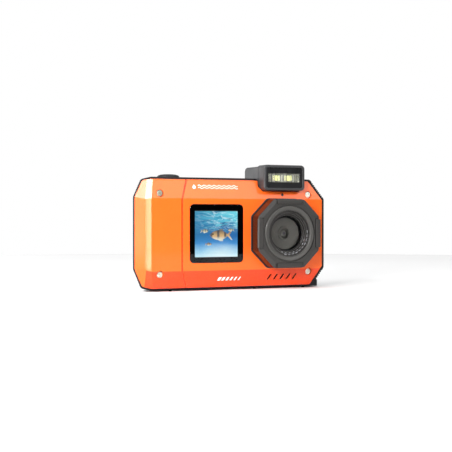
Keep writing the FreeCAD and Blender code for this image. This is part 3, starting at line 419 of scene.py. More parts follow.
def water_picture(name, node, strength, shoal):
    """Lit panel with plain shallow water: bright ripples above, pale light below, and a few fish."""
    look = Look(name, Roughness=0.35, Emission_Strength=strength)
    middle = centre(node) / MM
    x, _, z = look.axes()
    side = 1.0 if node == "front_display" else -1.0
    half_wide, half = PICTURE_HALF[node]
    u = look.math("MULTIPLY", look.math("SUBTRACT", x, middle.x), side / half)
    v = look.math("MULTIPLY", look.math("SUBTRACT", z, middle.z), 1 / half)
    flat = look.point(u, look.math("MULTIPLY", v, 2.0), 0.0)
    sway = look.math("MULTIPLY", look.math("SUBTRACT", look.noise(0.6, 2.0, flat), 0.5), 0.30)
    water = look.ramp(
        look.span(look.math("ADD", v, sway), -1.0, 1.0),
        [
            (0.00, (0.62, 0.90, 0.97)),
            (0.14, (0.36, 0.70, 0.92)),
            (0.32, (0.045, 0.29, 0.68)),
            (0.50, (0.010, 0.14, 0.43)),
            (0.66, (0.012, 0.17, 0.42)),
            (0.82, (0.06, 0.46, 0.66)),
            (1.00, (0.13, 0.62, 0.76)),
        ],
    )
    # Light that pools low and to the right of the middle.
    pool_u = look.math("MULTIPLY", look.math("SUBTRACT", u, 0.30), 0.75)
    pool_v = look.math("MULTIPLY", look.math("ADD", v, 1.05), 1.15)
    pool = look.span(look.vector("LENGTH", look.point(pool_u, pool_v, 0.0)), 0.95, 0.10, smooth=True)
    picture = look.blend(look.math("MULTIPLY", pool, 0.85), water, (0.80, 0.97, 1.0))
    # Underside of the surface, drawn in perspective: fine far away, coarse overhead.
    away = look.math("DIVIDE", 1.0, look.math("MAXIMUM", look.math("ADD", v, 0.12), 0.10))
    across = look.math("MULTIPLY", u, look.math("MULTIPLY", away, 0.9))
    sheet = look.point(across, look.math("MULTIPLY", away, 2.4), 0.0)
    bend = look.noise(0.9, 2.0, sheet)
    sheet = look.vector("ADD", sheet, look.point(bend, bend, 0.0))
    crests = look.math("ABSOLUTE", look.math("SUBTRACT", look.noise(0.62, 2.0, sheet), 0.5))
    overhead = look.span(v, 0.02, 0.38, smooth=True)
    patches = look.math("MULTIPLY", look.span(look.noise(0.9, 3.0, sheet), 0.46, 0.62), overhead)
    picture = look.blend(look.math("MULTIPLY", patches, 0.70), picture, (0.20, 0.80, 0.90))
    troughs = look.math("MULTIPLY", look.span(look.noise(0.7, 2.0, sheet), 0.48, 0.34), overhead)
    picture = look.blend(look.math("MULTIPLY", troughs, 0.9), picture, (0.008, 0.12, 0.30))
    glints = look.math("MULTIPLY", look.span(crests, 0.034, 0.008), overhead)
    picture = look.blend(look.math("MULTIPLY", glints, 0.65), picture, (0.74, 0.96, 1.0))
    # Deeper water towards the upper left.
    deeper = look.math("MULTIPLY", look.span(u, 0.3, -1.0, 0.0, 0.75, smooth=True), look.span(v, -0.45, 0.1))
    picture = look.blend(deeper, picture, (0.010, 0.20, 0.42))
    for place, length, height, facing, body_colour, band_colour in shoal:
        mask, du, dv = fish_mask(look, u, v, place, length, height, facing)
        picture = look.blend(mask, picture, fish_skin(look, du, dv, flat, body_colour, band_colour))
    look.shade("Base Color", (0.004, 0.004, 0.005))
    dots = look.math("MULTIPLY", look.math("MULTIPLY", look.wave(x, 40.0), look.wave(z, 40.0)), 0.03)
    lit = look.blend(look.math("ADD", dots, 0.03), picture, (0.0, 0.0, 0.0))
    reach_u = look.math("MULTIPLY", look.math("ABSOLUTE", u), half / half_wide)
    inside = look.math("MAXIMUM", reach_u, look.math("ABSOLUTE", v))
    look.shade("Emission Color", look.blend(look.span(inside, 0.998, 1.002), lit, (0.0, 0.0, 0.0)))
    look.bump(dots, 0.002)
    return look.material


# Each fish: place, length, height, facing (1 right, -1 left), body colour and band colour.
FRONT_SHOAL = [
    ((0.12, -0.02), 0.42, 0.21, -1.0, (0.72, 0.46, 0.20), (0.030, 0.055, 0.085)),
    ((-0.52, 0.16), 0.15, 0.075, 1.0, (0.66, 0.60, 0.34), (0.05, 0.12, 0.22)),
    ((0.66, 0.20), 0.12, 0.06, -1.0, (0.70, 0.62, 0.36), (0.06, 0.14, 0.24)),
    ((-0.34, -0.40), 0.13, 0.06, 1.0, (0.66, 0.42, 0.20), (0.05, 0.10, 0.20)),
]
REAR_SHOAL = [
    ((-0.35, 0.05), 0.30, 0.15, 1.0, (0.72, 0.46, 0.18), (0.030, 0.055, 0.085)),
    ((0.36, 0.20), 0.16, 0.08, -1.0, (0.66, 0.60, 0.34), (0.05, 0.12, 0.22)),
    ((0.74, -0.22), 0.14, 0.07, -1.0, (0.68, 0.44, 0.20), (0.06, 0.12, 0.22)),
    ((-0.88, -0.30), 0.12, 0.06, 1.0, (0.70, 0.60, 0.30), (0.05, 0.10, 0.20)),
]


def flash_clear():
    """Clear plastic that has yellowed very slightly, with moulding flow lines."""
    look = Look("flash_clear", Transmission_Weight=0.92, IOR=1.49)
    flow = look.noise(1.6, 3.0, stretch=(0.4, 1.0, 2.0))
    look.shade("Base Color", look.blend(flow, (0.95, 0.95, 0.90), (0.88, 0.89, 0.84)))
    look.shade("Roughness", look.span(flow, 0.3, 0.7, 0.03, 0.12))
    look.bump(flow, 0.01)
    return look.material


def lamp_phosphor():
    """Board of the lamp unit: dark solder mask, with yellow phosphor on each lamp that glows as painted
    light.
    """
    look = Look("lamp_phosphor", Emission_Strength=1.85)
    x, y, z = look.axes()
    lamp_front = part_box("flash_leds")[0].y / MM + 0.6
    on_lamp = look.span(y, lamp_front + 0.3, lamp_front)
    grain = look.noise(0.12, 2.0)
    cloud = look.noise(0.9, 2.0)
    middle = centre("flash_leds") / MM
    du = look.math("SUBTRACT", look.distance(x, middle.x), LAMP_OFFSET)
    dv = look.math("SUBTRACT", z, middle.z)
    square = look.math("MAXIMUM", look.math("ABSOLUTE", du), look.math("ABSOLUTE", dv))
    phosphor = look.math("MULTIPLY", look.span(square, 1.55, 1.35), on_lamp)
    glow = look.blend(cloud, (0.74, 0.76, 0.14), (0.95, 0.95, 0.48))
    board = look.blend(grain, (0.20, 0.20, 0.19), (0.30, 0.30, 0.28))
    look.shade("Base Color", look.blend(phosphor, board, glow))
    # Painted glow: the phosphor gives off its own yellow as light.
    look.shade("Emission Color", look.blend(phosphor, (0.0, 0.0, 0.0), glow))
    look.shade("Roughness", look.span(grain, 0.3, 0.7, 0.45, 0.60))
    look.bump(grain, 0.01)
    return look.material


def reflector_mirror():
    """Metallised plastic trough, with upright flutes, painted reflection bands along them, and a fine
    orange-peel.
    """
    look = Look("reflector_mirror", Metallic=1.0)
    peel = look.noise(0.5, 3.0)
    flutes = look.wave(look.axes()[0], 8.4)
    # Painted reflection: dark and bright bands follow the flutes.
    tone = look.blend(look.span(flutes, -0.4, 0.8), (0.04, 0.04, 0.04), (0.48, 0.48, 0.45))
    look.shade("Base Color", look.blend(look.math("MULTIPLY", peel, 0.3), tone, (0.22, 0.22, 0.21)))
    look.shade("Roughness", look.span(peel, 0.3, 0.7, 0.16, 0.30))
    look.bump(look.math("ADD", flutes, look.math("MULTIPLY", peel, 0.3)), 0.05)
    return look.material


def circuit_board():
    """Green solder mask with copper tracks showing through and a weave underneath."""
    look = Look("board_green", Coat_Weight=0.4, Coat_Roughness=0.15)
    x, _, z = look.axes()
    weave = look.math("MULTIPLY", look.wave(x, 9.0), look.wave(z, 9.0))
    tracks = look.span(look.cells(3.2, feature="DISTANCE_TO_EDGE"), 0.04, 0.02)
    tone = look.blend(look.span(weave, -1.0, 1.0), (0.008, 0.085, 0.040), (0.012, 0.110, 0.052))
    look.shade("Base Color", look.blend(look.math("MULTIPLY", tracks, 0.8), tone, (0.05, 0.26, 0.12)))
    look.shade("Roughness", look.span(look.noise(2.0, 3.0), 0.3, 0.7, 0.30, 0.45))
    look.bump(look.math("ADD", tracks, look.math("MULTIPLY", weave, 0.15)), 0.03)
    return look.material


def gloss_black():
    """Printed black border under the screen glass."""
    look = Look("mask_black", Specular_IOR_Level=0.3)
    print_dots = look.span(look.cells(0.25), 0.0, 0.5)
    look.shade("Base Color", look.blend(print_dots, (0.004, 0.004, 0.005), (0.008, 0.008, 0.010)))
    look.shade("Roughness", look.span(look.noise(3.0, 3.0), 0.3, 0.7, 0.05, 0.10))
    look.bump(print_dots, 0.001)
    return look.material


def lens_face():
    """Dark disc behind the window, with very fine anti-glare rings."""
    look = Look("lens_face", Specular_IOR_Level=0.4)
    rings = look.wave(look.reach_from(centre("lens_face_plate") / MM), 14.0)
    grain = look.noise(0.3, 3.0)
    look.shade("Base Color", look.blend(grain, (0.130, 0.127, 0.116), (0.160, 0.156, 0.144)))
    look.shade("Roughness", look.span(grain, 0.3, 0.7, 0.38, 0.55))
    look.bump(rings, 0.02)
    return look.material


def light_pipe():
    """Frosted clear ribs that carry light from the lamps, made to glow a little as painted light."""
    look = Look("light_pipe", Transmission_Weight=0.3, IOR=1.49, Emission_Strength=0.42)
    frost = look.noise(0.25, 3.0)
    look.shade("Base Color", look.blend(frost, (0.86, 0.86, 0.78), (0.97, 0.97, 0.92)))
    # Painted glow: the ribs give off a pale light of their own.
    look.shade("Emission Color", look.blend(frost, (0.80, 0.80, 0.66), (1.0, 1.0, 0.90)))
    look.shade("Roughness", look.span(frost, 0.3, 0.7, 0.25, 0.45))
    look.bump(frost, 0.01)
    return look.material


def printed_white():
    """Screen-printed white ink, a little uneven."""
    look = Look("printed_white")
    weave = look.span(look.cells(0.18), 0.0, 0.5)
    thin = look.noise(1.2, 3.0)
    look.shade("Base Color", look.blend(look.span(thin, 0.35, 0.75), (0.90, 0.88, 0.84), (0.80, 0.76, 0.70)))
    look.shade("Roughness", look.span(thin, 0.3, 0.7, 0.45, 0.60))
    look.bump(weave, 0.006)
    return look.material


MATERIALS = {
    "cover_orange": cover_orange(),
    "shell_black": moulded("shell_black", BLACK, 0.46, Specular_IOR_Level=0.55).material,
    "port_black": moulded(
        "port_black", PORT_BLACK, 0.42, grain_mm=0.28, painted_shade_polished_sides=True, Specular_IOR_Level=0.38
    ).material,
    "ring_grey": moulded("ring_grey", RING_GREY, 0.42, grain_mm=0.25, Specular_IOR_Level=0.5).material,
    "seal_rubber": moulded("seal_rubber", (0.022, 0.022, 0.024), 0.62, grain_mm=0.2, mottle=0.2).material,
    "key_rubber": moulded(
        "key_rubber", RUBBER, 0.55, grain_mm=0.22, wear=1.4, Specular_IOR_Level=0.25
    ).material,
    "screw_steel": screw_metal(),
    "bush_brass": metal("bush_brass", (0.72, 0.50, 0.20), 0.28, (1.0, 1.0, 6.0)).material,
    "optical_glass": optical_glass("optical_glass", (0.97, 0.97, 0.97), (0.85, 0.87, 1.0)),
    "screen_glass": optical_glass("screen_glass", (0.96, 0.98, 0.99), (0.92, 0.95, 1.0), 0.02),
    "mask_black": gloss_black(),
    "display_front": water_picture("display_front", "front_display", 1.0, FRONT_SHOAL),
    "display_rear": water_picture("display_rear", "rear_display", 0.9, REAR_SHOAL),
    "flash_clear": flash_clear(),
    "reflector_mirror": reflector_mirror(),
    "lamp_phosphor": lamp_phosphor(),
    "board_green": circuit_board(),
    "chassis_alloy": metal("chassis_alloy", (0.60, 0.60, 0.61), 0.38, (1.0, 1.0, 8.0)).material,
    "socket_steel": metal("socket_steel", (0.58, 0.58, 0.58), 0.32, (1.0, 6.0, 1.0)).material,
    "card_plastic": moulded("card_plastic", (0.045, 0.046, 0.055), 0.42).material,
    "battery_wrap": moulded("battery_wrap", (0.12, 0.13, 0.15), 0.38, grain_mm=0.6, mottle=0.15).material,
    "spring_steel": metal("spring_steel", (0.66, 0.66, 0.66), 0.25, (3.0, 3.0, 3.0)).material,
}
PIN_METAL = metal("pin_steel", (0.50, 0.50, 0.51), 0.30, (1.0, 1.0, 5.0)).material
# Nodes that look different from the rest of their material slot.
NODE_LOOKS = {
    "middle_frame": moulded(
        "frame_rubber", (0.020, 0.020, 0.021), 0.55, Specular_IOR_Level=0.2
    ).material,
    "strap_pin": PIN_METAL,
    "door_hinge_pin": PIN_METAL,
    "image_sensor": moulded("sensor_face", (0.085, 0.085, 0.080), 0.35, grain_mm=0.3).material,
    "front_lens": coated_lens(),
    "lens_cell": moulded("lens_cell_grey", (0.10, 0.098, 0.09), 0.40, grain_mm=0.2).material,
    "lens_face_plate": lens_face(),
    "flash_faceplate": moulded(
        "flash_face", (0.010, 0.010, 0.011), 0.30, grain_mm=0.2, Specular_IOR_Level=0.4
    ).material,
}

for entry in frame["record"]["subparts"]:
    wanted = NODE_LOOKS.get(entry["node"], MATERIALS[entry["material_slot"]])
    for slot in nodes[entry["node"]].material_slots:
        slot.material = wanted

INK = printed_white()
SPEAKER_CLOTH = moulded(
    "speaker_cloth", (0.005, 0.004, 0.004), 0.8, grain_mm=0.15, Specular_IOR_Level=0.05
).material


# ---------------------------------------------------------------- printed and moulded detail
def as_piece(name, mesh, material, body="camera", smooth=False):
    """Turns a bmesh into a scene piece that rides on a body."""
    bmesh.ops.recalc_face_normals(mesh, faces=mesh.faces)
    data = bpy.data.meshes.new(name)
    mesh.to_mesh(data)
    mesh.free()
    for face in data.polygons:
        face.use_smooth = smooth
    piece = bpy.data.objects.new(name, data)
    bpy.context.scene.collection.objects.link(piece)
    data.materials.append(material)
    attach(piece, body)
    return piece


def bridge(mesh, a, b):
    """Band of faces between two closed rings of points."""
    for k in range(len(a)):
        n = (k + 1) % len(a)
        mesh.faces.new((a[k], a[n], b[n], b[k]))


INK_ROOT = 0.02  # how far a raised shape starts below its surface, in millimetres


def relief(name, outlines, place, thickness_mm, material, body="camera"):
    """Raised shapes from flat outlines. place(u, v) gives the point on the surface and its outward normal."""
    mesh = bmesh.new()
    for outline in outlines:
        points = [place(u, v) for u, v in outline]
        lower = [mesh.verts.new(p - n * INK_ROOT * MM) for p, n in points]
        upper = [mesh.verts.new(p + n * thickness_mm * MM) for p, n in points]
        mesh.faces.new(upper)
        bridge(mesh, lower, upper)
    return as_piece(name, mesh, material, body)


def on_plane(origin, across, up):
    """Place function for a flat surface, from an origin and two directions in metres."""
    across, up = Vector(across).normalized(), Vector(up).normalized()
    normal = across.cross(up)
    return lambda u, v: (Vector(origin) + across * u * MM + up * v * MM, normal)


def ribbon(points, width):
    """Closed outline of a line of the given width."""
    left, right = [], []
    for i, (u, v) in enumerate(points):
        (u0, v0), (u1, v1) = points[max(i - 1, 0)], points[min(i + 1, len(points) - 1)]
        length = math.hypot(u1 - u0, v1 - v0)
        du, dv = -(v1 - v0) / length * width / 2, (u1 - u0) / length * width / 2
        left.append((u + du, v + dv))
        right.append((u - du, v - dv))
    return left + right[::-1]


def quads(outline):
    """Splits a ribbon outline into four-sided pieces, so that every face is convex."""
    half = len(outline) // 2
    left, right = outline[:half], outline[half:][::-1]
    return [[left[i], left[i + 1], right[i + 1], right[i]] for i in range(half - 1)]


def wave_line(start, length, height, periods, width, steps=12):
    """Sine line as small quads."""
    count = int(periods * steps)
    points = []
    for i in range(count + 1):
        share = i / count
        rise = height * math.sin(2 * math.pi * periods * share)
        points.append((start[0] + length * share, start[1] + rise))
    return quads(ribbon(points, width))


def droplet(u, v, radius, steps=20):
    """Water drop outline, point up."""
    points = []
    for i in range(steps):
        angle = 2 * math.pi * i / steps
        pull = max(0.0, math.cos(angle)) ** 3
        side = u + radius * math.sin(angle) * (1 - 0.75 * pull)
        points.append((side, v + radius * math.cos(angle) * (1 + 0.7 * pull)))
    return points


# Foot and head of each long bevel of the front cover, in the plane x = 0.
FACE_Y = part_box("front_cover")[0].y
BEVEL_TOP_FOOT = Vector((0, FACE_Y, TOP_BEVEL_Z[0] * MM))
BEVEL_TOP_HEAD = Vector((0, FACE_Y + BEVEL_DEEP * MM, TOP_BEVEL_Z[1] * MM))
BEVEL_LOW_HEAD = Vector((0, FACE_Y, LOW_BEVEL_Z[1] * MM))
BEVEL_LOW_FOOT = Vector((0, FACE_Y + BEVEL_DEEP * MM, LOW_BEVEL_Z[0] * MM))
TOP_RISE = BEVEL_TOP_HEAD - BEVEL_TOP_FOOT
LOW_RISE = BEVEL_LOW_HEAD - BEVEL_LOW_FOOT
TOP_MARK_SHARE, LOW_MARK_SHARE = 0.62, 0.49  # how far up its bevel each mark lies
INK_RISE = 0.05

top_bevel = on_plane(BEVEL_TOP_FOOT + TOP_RISE * TOP_MARK_SHARE, (1, 0, 0), TOP_RISE)
mark = [droplet(-24.6, -0.25, 0.95)]
for row in (-0.62, 0.62):
    mark += wave_line((-22.3, row), 23.4, 0.42, 8, 0.30, steps=16)
relief("cover_wave_mark", mark, top_bevel, INK_RISE, INK)

low_bevel = on_plane(BEVEL_LOW_FOOT + LOW_RISE * LOW_MARK_SHARE, (1, 0, 0), LOW_RISE)
BAR_COUNT, BAR_START, BAR_PITCH, BAR_LEAN, BAR_HALF = 6, -11.2, 2.45, 1.1, 0.95
bars = []
for i in range(BAR_COUNT):
    left, wide = BAR_START + BAR_PITCH * i, 1.5 - 0.16 * i
    right = left + wide
    foot = [(left, -BAR_HALF), (right, -BAR_HALF)]
    bars.append(foot + [(right + BAR_LEAN, BAR_HALF), (left + BAR_LEAN, BAR_HALF)])
relief("cover_bar_mark", bars, low_bevel, INK_RISE, INK)


def woven_plate(name, corners, count_u, count_v, thickness_mm, weave_mm, normal, material):
    """Four-sided plate with an over-and-under weave on its outer side."""
    mesh = bmesh.new()
    a, b, c, d = (Vector(p) for p in corners)
    upper, lower = [], []
    for i in range(count_u + 1):
        for j in range(count_v + 1):
            s, t = i / count_u, j / count_v
            point = a * (1 - s) * (1 - t) + b * s * (1 - t) + c * s * t + d * (1 - s) * t
            lift = weave_mm * MM * (1 if (i + j) % 2 else -1)
            upper.append(mesh.verts.new(point + normal * lift))
            lower.append(mesh.verts.new(point - normal * thickness_mm * MM))
    row = count_v + 1
    for i in range(count_u):
        for j in range(count_v):
            k = i * row + j
            mesh.faces.new((upper[k], upper[k + row], upper[k + row + 1], upper[k + 1]))
            mesh.faces.new((lower[k], lower[k + 1], lower[k + row + 1], lower[k + row]))
    rim = [i * row for i in range(count_u)]
    rim += [count_u * row + j for j in range(count_v)]
    rim += [i * row + count_v for i in range(count_u, 0, -1)]
    rim += [j for j in range(count_v, 0, -1)]
    for k, n in zip(rim, rim[1:] + rim[:1]):
        mesh.faces.new((upper[k], lower[k], lower[n], upper[n]))
    return as_piece(name, mesh, material)


# Sound slots: five leaning openings in the bottom bevel, in front of the speaker, in millimetres.
SLOT_COUNT, SLOT_PITCH, SLOT_WIDE, SLOT_LEAN, SLOT_Z = 5, 3.9, 1.1, 1.75, (5.1, 8.2)
SLOT_DEEP, SLOT_GAP_WIDE, SLOT_GAP_HIGH = 0.14, 0.02, 0.1
CLOTH_THICK, CLOTH_WEAVE = 0.25, 0.03
low_normal = Vector((1, 0, 0)).cross(LOW_RISE).normalized()
lens_x = centre("lens_ring").x / MM


def on_low_bevel(x_mm, z_mm, depth_mm):
    """Point under the bottom bevel, at a depth along its normal."""
    share = (z_mm * MM - BEVEL_LOW_FOOT.z) / (BEVEL_LOW_HEAD.z - BEVEL_LOW_FOOT.z)
    point = BEVEL_LOW_FOOT + LOW_RISE * share
    return Vector((x_mm * MM, point.y, point.z)) - low_normal * depth_mm * MM


for i in range(SLOT_COUNT):
    x_mid = lens_x + (i - (SLOT_COUNT - 1) / 2) * SLOT_PITCH
    x_low = x_mid - SLOT_LEAN / 2 + SLOT_WIDE / 2
    x_high = x_low + SLOT_LEAN
    half = SLOT_WIDE / 2 - SLOT_GAP_WIDE
    z_low, z_high = SLOT_Z[0] + SLOT_GAP_HIGH, SLOT_Z[1] - SLOT_GAP_HIGH
    slot_corners = [
        on_low_bevel(x_low - half, z_low, SLOT_DEEP),
        on_low_bevel(x_low + half, z_low, SLOT_DEEP),
        on_low_bevel(x_high + half, z_high, SLOT_DEEP),
        on_low_bevel(x_high - half, z_high, SLOT_DEEP),
    ]
    woven_plate(
        "speaker_mesh_%d" % (i + 1), slot_corners, 6, 26, CLOTH_THICK, CLOTH_WEAVE, low_normal,
        SPEAKER_CLOTH,
    )


def turned_piece(name, profile, origin, axis, material, steps=32):
    """Closed ring turned about an axis. Profile points are (radius, height) in millimetres."""
    axis = Vector(axis).normalized()
    side = axis.cross(Vector((1, 0, 0.2))).normalized()
    other = axis.cross(side)
    mesh = bmesh.new()
    rings = []
    for step in range(steps):
        angle = 2 * math.pi * step / steps
        out = side * math.cos(angle) + other * math.sin(angle)
        rings.append([mesh.verts.new(Vector(origin) + (out * r + axis * h) * MM) for r, h in profile])
    for a, b in zip(rings, rings[1:] + rings[:1]):
        bridge(mesh, a, b)
    return as_piece(name, mesh, material, smooth=True)


top_normal = Vector((1, 0, 0)).cross(TOP_RISE).normalized()
mic = centre("microphone")
mic_share = (mic.z - BEVEL_TOP_FOOT.z) / (BEVEL_TOP_HEAD.z - BEVEL_TOP_FOOT.z)
mic_mouth = (mic.x, (BEVEL_TOP_FOOT + TOP_RISE * mic_share).y, mic.z)
GROMMET = [
    (0.25, -0.9), (0.25, -0.25), (0.35, -0.12), (0.60, -0.08), (0.79, -0.14), (0.82, -0.3), (0.82, -0.9),
]
turned_piece("mic_grommet", GROMMET, mic_mouth, top_normal, MATERIALS["seal_rubber"])


def return_coil(name, node, turns=4, wire_mm=0.22):
    """Round-wire spring in a CAD spring's place."""
    low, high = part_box(node)
    middle, wire = (low + high) / 2, wire_mm * MM
    reach = (high.x - low.x) / 2 - wire
    rise = high.z - low.z - 2 * wire
    steps, around = 36 * turns, 10
    upwards = Vector((0, 0, 1))
    mesh = bmesh.new()
    rings = []
    for step in range(steps + 1):
        angle = 2 * math.pi * turns * step / steps
        out = Vector((math.cos(angle), math.sin(angle), 0.0))
        spot = Vector((middle.x, middle.y, low.z + wire + rise * step / steps)) + out * reach
        ring = []
        for k in range(around):
            turn = 2 * math.pi * k / around
            lean = out * math.cos(turn) + upwards * math.sin(turn)
            ring.append(mesh.verts.new(spot + lean * wire))
        rings.append(ring)
    for a, b in zip(rings, rings[1:]):
        bridge(mesh, a, b)
    mesh.faces.new(rings[0])
    mesh.faces.new(rings[-1])
    coil = as_piece(name, mesh, MATERIALS["spring_steel"], smooth=True)
    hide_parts(node)
    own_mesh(coil)


return_coil("shutter_return_coil", "shutter_spring")


def scale_ticks(name, rows, material):
    """Short printed bars on the baffle's steps.

    Each row is (radius, depth, first and last angle, count, width, height), in millimetres and degrees.
    """
    outlines = []
    for radius, y_mm, first, last, count, wide, high in rows:
        for i in range(count):
            angle = math.radians(first + (last - first) * i / (count - 1))
            reach = high if i % 3 == 0 else high * 0.55
            turn = wide / 2 / radius
            inner = radius - high / 2
            outer = inner + reach
            corners = [(inner, -turn), (outer, -turn), (outer, turn), (inner, turn)]
            outlines.append([(r * math.cos(angle + t), r * math.sin(angle + t), y_mm) for r, t in corners])
    middle = centre("lens_baffle")
    mesh = bmesh.new()
    for outline in outlines:
        lower, upper = (
            [mesh.verts.new((middle.x + u * MM, (y + step) * MM, middle.z + w * MM)) for u, w, y in outline]
            for step in (TICK_ROOT, -TICK_RISE)
        )
        mesh.faces.new(upper)
        mesh.faces.new(lower)
        bridge(mesh, lower, upper)
    return as_piece(name, mesh, material)


# The bars stand on the baffle's steps: how far each starts inside the step and stands proud of it.
TICK_ROOT, TICK_RISE = 0.02, 0.03
TICK_ROWS = [(11.6, -15.7, -100, 5, 10, 1.3, 0.52), (10.75, -14.9, -110, -20, 8, 0.9, 0.42)]
GREY_INK = moulded("grey_ink", (0.30, 0.30, 0.32), 0.5, grain_mm=0.15).material
scale_ticks("port_scale_ticks", TICK_ROWS, GREY_INK)


def rib_comb(name, places, half_high, radius, floor_y, middle, material, steps=10):
    """Upright half-round ribs standing on a board."""
    mesh = bmesh.new()
    for dx in places:
        ends = []
        for z in (middle.z - half_high * MM, middle.z + half_high * MM):
            ring = []
            for k in range(steps + 1):
                angle = math.pi * k / steps
                x = middle.x + (dx + radius * math.cos(angle)) * MM
                y = floor_y - radius * RIB_STRETCH * math.sin(angle) * MM
                ring.append(mesh.verts.new((x, y, z)))
            ends.append(ring)
        for k in range(steps):
            mesh.faces.new((ends[0][k], ends[0][k + 1], ends[1][k + 1], ends[1][k]))
        mesh.faces.new((ends[0][0], ends[1][0], ends[1][-1], ends[0][-1]))
        for ring in ends:
            mesh.faces.new(ring)
    return as_piece(name, mesh, material)


RIB_STRETCH = 1.6  # a rib's height over its half width
lamps = centre("flash_leds")
lamp_board_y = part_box("flash_leds")[0].y + 1.1 * MM
COMB = [-6.55, -5.85, -1.2, -0.6, 0.0, 0.6, 1.2, 5.85, 6.55]
rib_comb("lamp_comb", COMB, 1.95, 0.24, lamp_board_y, lamps, light_pipe())


# ---------------------------------------------------------------- key symbols
def patch(left, right, low, high, pieces_u, pieces_v=1):
    """Rectangle cut into small four-sided pieces, so that it can follow a curved surface."""
    outlines = []
    for i in range(pieces_u):
        for j in range(pieces_v):
            u0, u1 = (left + (right - left) * k / pieces_u for k in (i, i + 1))
            v0, v1 = (low + (high - low) * k / pieces_v for k in (j, j + 1))
            outlines.append([(u0, v0), (u1, v0), (u1, v1), (u0, v1)])
    return outlines


def bar(u, v, width, height):
    """Small pieces of a bar about a point."""
    across, up = max(1, round(width / 0.4)), max(1, round(height / 0.4))
    return patch(u - width / 2, u + width / 2, v - height / 2, v + height / 2, across, up)


def circle_line(radius, width, steps=24):
    """Thin ring as small quads."""
    angles = [2 * math.pi * i / steps for i in range(steps + 1)]
    points = [(radius * math.cos(angle), radius * math.sin(angle)) for angle in angles]
    return quads(ribbon(points, width))


def arrow_head(left, right, half, rows=6):
    """Triangle that points right, as thin upright slices."""
    outlines = []
    for i in range(rows):
        u0, u1 = (left + (right - left) * k / rows for k in (i, i + 1))
        h0, h1 = (half * (1 - k / rows) for k in (i, i + 1))
        for low0, high0, low1, high1 in ((-h0, 0.0, -h1, 0.0), (0.0, h0, 0.0, h1)):
            corners = [(u0, low0), (u1, low1), (u1, high1), (u0, high0)]
            outlines.append([p for k, p in enumerate(corners) if p != corners[k - 1]])
    return outlines


KEY_SYMBOLS = {
    "key_zoom_in": bar(0, 0, 2.6, 0.5) + bar(0, 0.8, 0.5, 1.1) + bar(0, -0.8, 0.5, 1.1),
    "key_zoom_out": bar(0, 0, 2.6, 0.5),
    "key_mode": circle_line(1.3, 0.4) + bar(0, 0, 0.7, 0.7),
    "key_menu": bar(0, -0.9, 2.5, 0.42) + bar(0, 0.0, 2.5, 0.42) + bar(0, 0.9, 2.5, 0.42),
    "key_play": arrow_head(-1.0, 1.4, 1.35),
    "key_screen": bar(0, 0.95, 2.9, 0.36) + bar(0, -0.95, 2.9, 0.36)
    + bar(-1.27, 0, 0.36, 1.54) + bar(1.27, 0, 0.36, 1.54),
}
# thin enough that the keys' symbols stay within the object's box to 0.01 mm
SYMBOL_RISE = 0.006  # how far the keys' symbols stand proud, in millimetres


def on_key_dome(node):
    """Place function that lands on the key's own crowned surface, seen from the back."""
    middle, back = centre(node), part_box(node)[1].y
    data = nodes[node].data
    surface = BVHTree.FromPolygons([v.co for v in data.vertices], [p.vertices for p in data.polygons])

    def place(u, v):
        start = Vector((middle.x - u * MM, back + MM, middle.z + v * MM))
        spot = surface.ray_cast(start, Vector((0, -1, 0)))[0]
        return spot, Vector((0, 1, 0))

    return place


for key, shapes in KEY_SYMBOLS.items():
    relief(key + "_symbol", shapes, on_key_dome(key), SYMBOL_RISE, INK, body=key)


# ---------------------------------------------------------------- stage
def stage_floor():
    """Round table of plain white paper."""
    mesh = bmesh.new()
    bmesh.ops.create_circle(mesh, cap_ends=True, segments=96, radius=0.6)
    data = bpy.data.meshes.new("stage_floor")
    mesh.to_mesh(data)
    mesh.free()
    floor = bpy.data.objects.new("stage_floor", data)
    bpy.context.scene.collection.objects.link(floor)
    look = Look("stage_paper", Specular_IOR_Level=0.2)
    fibre = look.noise(2.0, 4.0)
    look.shade("Base Color", look.blend(fibre, (0.83, 0.83, 0.83), (0.86, 0.86, 0.86)))
    look.shade("Roughness", look.span(fibre, 0.3, 0.7, 0.75, 0.85))
    data.materials.append(look.material)


def toward(azimuth, elevation, distance):
    """Point in a direction from the object's middle.

    Azimuth is in degrees from straight ahead of the lens, with the left negative.
    """
    around, up = math.radians(azimuth), math.radians(elevation)
    flat = distance * math.cos(up)
    return (flat * math.sin(around), -flat * math.cos(around), MIDDLE[2] + distance * math.sin(up))


def soft_light(name, place, aim, width, height, watts, spread=180, colour=(1, 1, 1)):
    """Rectangular softbox aimed at a point. A smaller spread, in degrees, is a deeper grid."""
    data = bpy.data.lights.new(name, "AREA")
    data.shape = "RECTANGLE"
    data.spread = math.radians(spread)
    data.size, data.size_y = width, height
    data.energy, data.color = watts, colour
    lamp = bpy.data.objects.new(name, data)
    lamp.location = place
    lamp.rotation_euler = (Vector(aim) - Vector(place)).to_track_quat("-Z", "Y").to_euler()
    lamp.visible_camera = False
    bpy.context.scene.collection.objects.link(lamp)


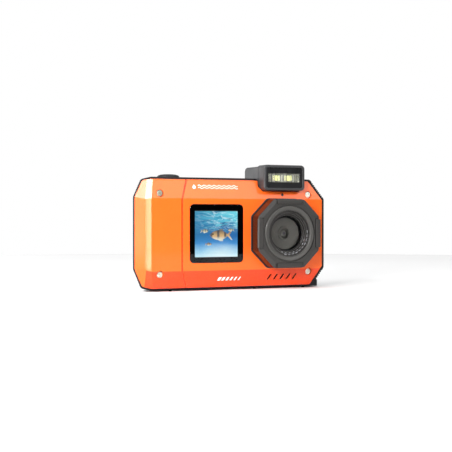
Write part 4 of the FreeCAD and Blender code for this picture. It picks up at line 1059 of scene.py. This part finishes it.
def studio_world():
    """Even white tent: bright overhead, dark near eye level so that gloss stays deep, plain white behind."""
    world = bpy.data.worlds.new("studio")
    bpy.context.scene.world = world
    world.use_nodes = True
    tree = world.node_tree
    background = tree.nodes["Background"]
    background.inputs["Color"].default_value = (1.0, 1.0, 1.0, 1.0)
    direction = tree.nodes.new("ShaderNodeTexCoord")
    parts = tree.nodes.new("ShaderNodeSeparateXYZ")
    sky = tree.nodes.new("ShaderNodeMapRange")
    sky.interpolation_type = "SMOOTHSTEP"
    for name, value in zip(("From Min", "From Max", "To Min", "To Max"), (0.16, 0.42, TENT_LOW, TENT_HIGH)):
        sky.inputs[name].default_value = value
    path = tree.nodes.new("ShaderNodeLightPath")
    seen = tree.nodes.new("ShaderNodeMix")
    seen.inputs["B"].default_value = 1.0
    tree.links.new(direction.outputs["Generated"], parts.inputs[0])
    tree.links.new(parts.outputs["Z"], sky.inputs["Value"])
    tree.links.new(path.outputs["Is Camera Ray"], seen.inputs["Factor"])
    tree.links.new(sky.outputs[0], seen.inputs["A"])
    tree.links.new(seen.outputs[0], background.inputs["Strength"])


TENT_LOW, TENT_HIGH = 0.04, 1.02  # the tent's strength near eye level and overhead
# What the lamps aim at: the object's middle, its left end, and the left facet at two heights.
MIDDLE = (0.0, 0.0, 0.035)
LEFT_END = (-0.060, 0.0, 0.035)
LEFT_FACET = (-0.0506, -0.0074, 0.031)
UPPER_LEFT_FACET = (-0.0498, -0.0058, 0.0544)
PALE_YELLOW = (1, 0.95, 0.72)
stage_floor()
studio_world()
soft_light("key_left", (-0.32, -0.30, 0.16), LEFT_END, 0.14, 0.14, 0.23, spread=50)
soft_light("strip_left", (-0.1856, -0.2295, 0.031), LEFT_FACET, 0.0042, 0.062, 0.019, colour=PALE_YELLOW)
soft_light("strip_upper_left", (-0.1738, -0.1665, 0.2168), UPPER_LEFT_FACET, 0.0060, 0.040, 0.040)
soft_light("panel_left", toward(-74, 4, 0.75), MIDDLE, 0.30, 0.22, 0.70)
soft_light("panel_upper_left", toward(-71, 36, 0.75), MIDDLE, 0.34, 0.14, 2.4)
soft_light("panel_upper_right", toward(27, 32, 0.80), MIDDLE, 0.50, 0.20, 0.8)
soft_light("panel_back", toward(-154, 8, 0.80), MIDDLE, 0.40, 0.25, 1.0)

SENSOR_MM, LENS_MM, CLIP_START = 36.0, 82.66, 0.01
CAMERA_PLACE = (-0.24007, -0.51613, 0.03815)
LOOKS_DOWN, TURNED = 0.35, -24.668  # degrees
camera_data = bpy.data.cameras.new("camera")
camera_data.sensor_width = SENSOR_MM
camera_data.lens = LENS_MM
camera_data.clip_start = CLIP_START
camera = bpy.data.objects.new("camera", camera_data)
camera.location = CAMERA_PLACE
camera.rotation_euler = (math.radians(90.0 - LOOKS_DOWN), 0.0, math.radians(TURNED))
bpy.context.scene.collection.objects.link(camera)
bpy.context.scene.camera = camera
bpy.context.scene.view_settings.view_transform = "Standard"
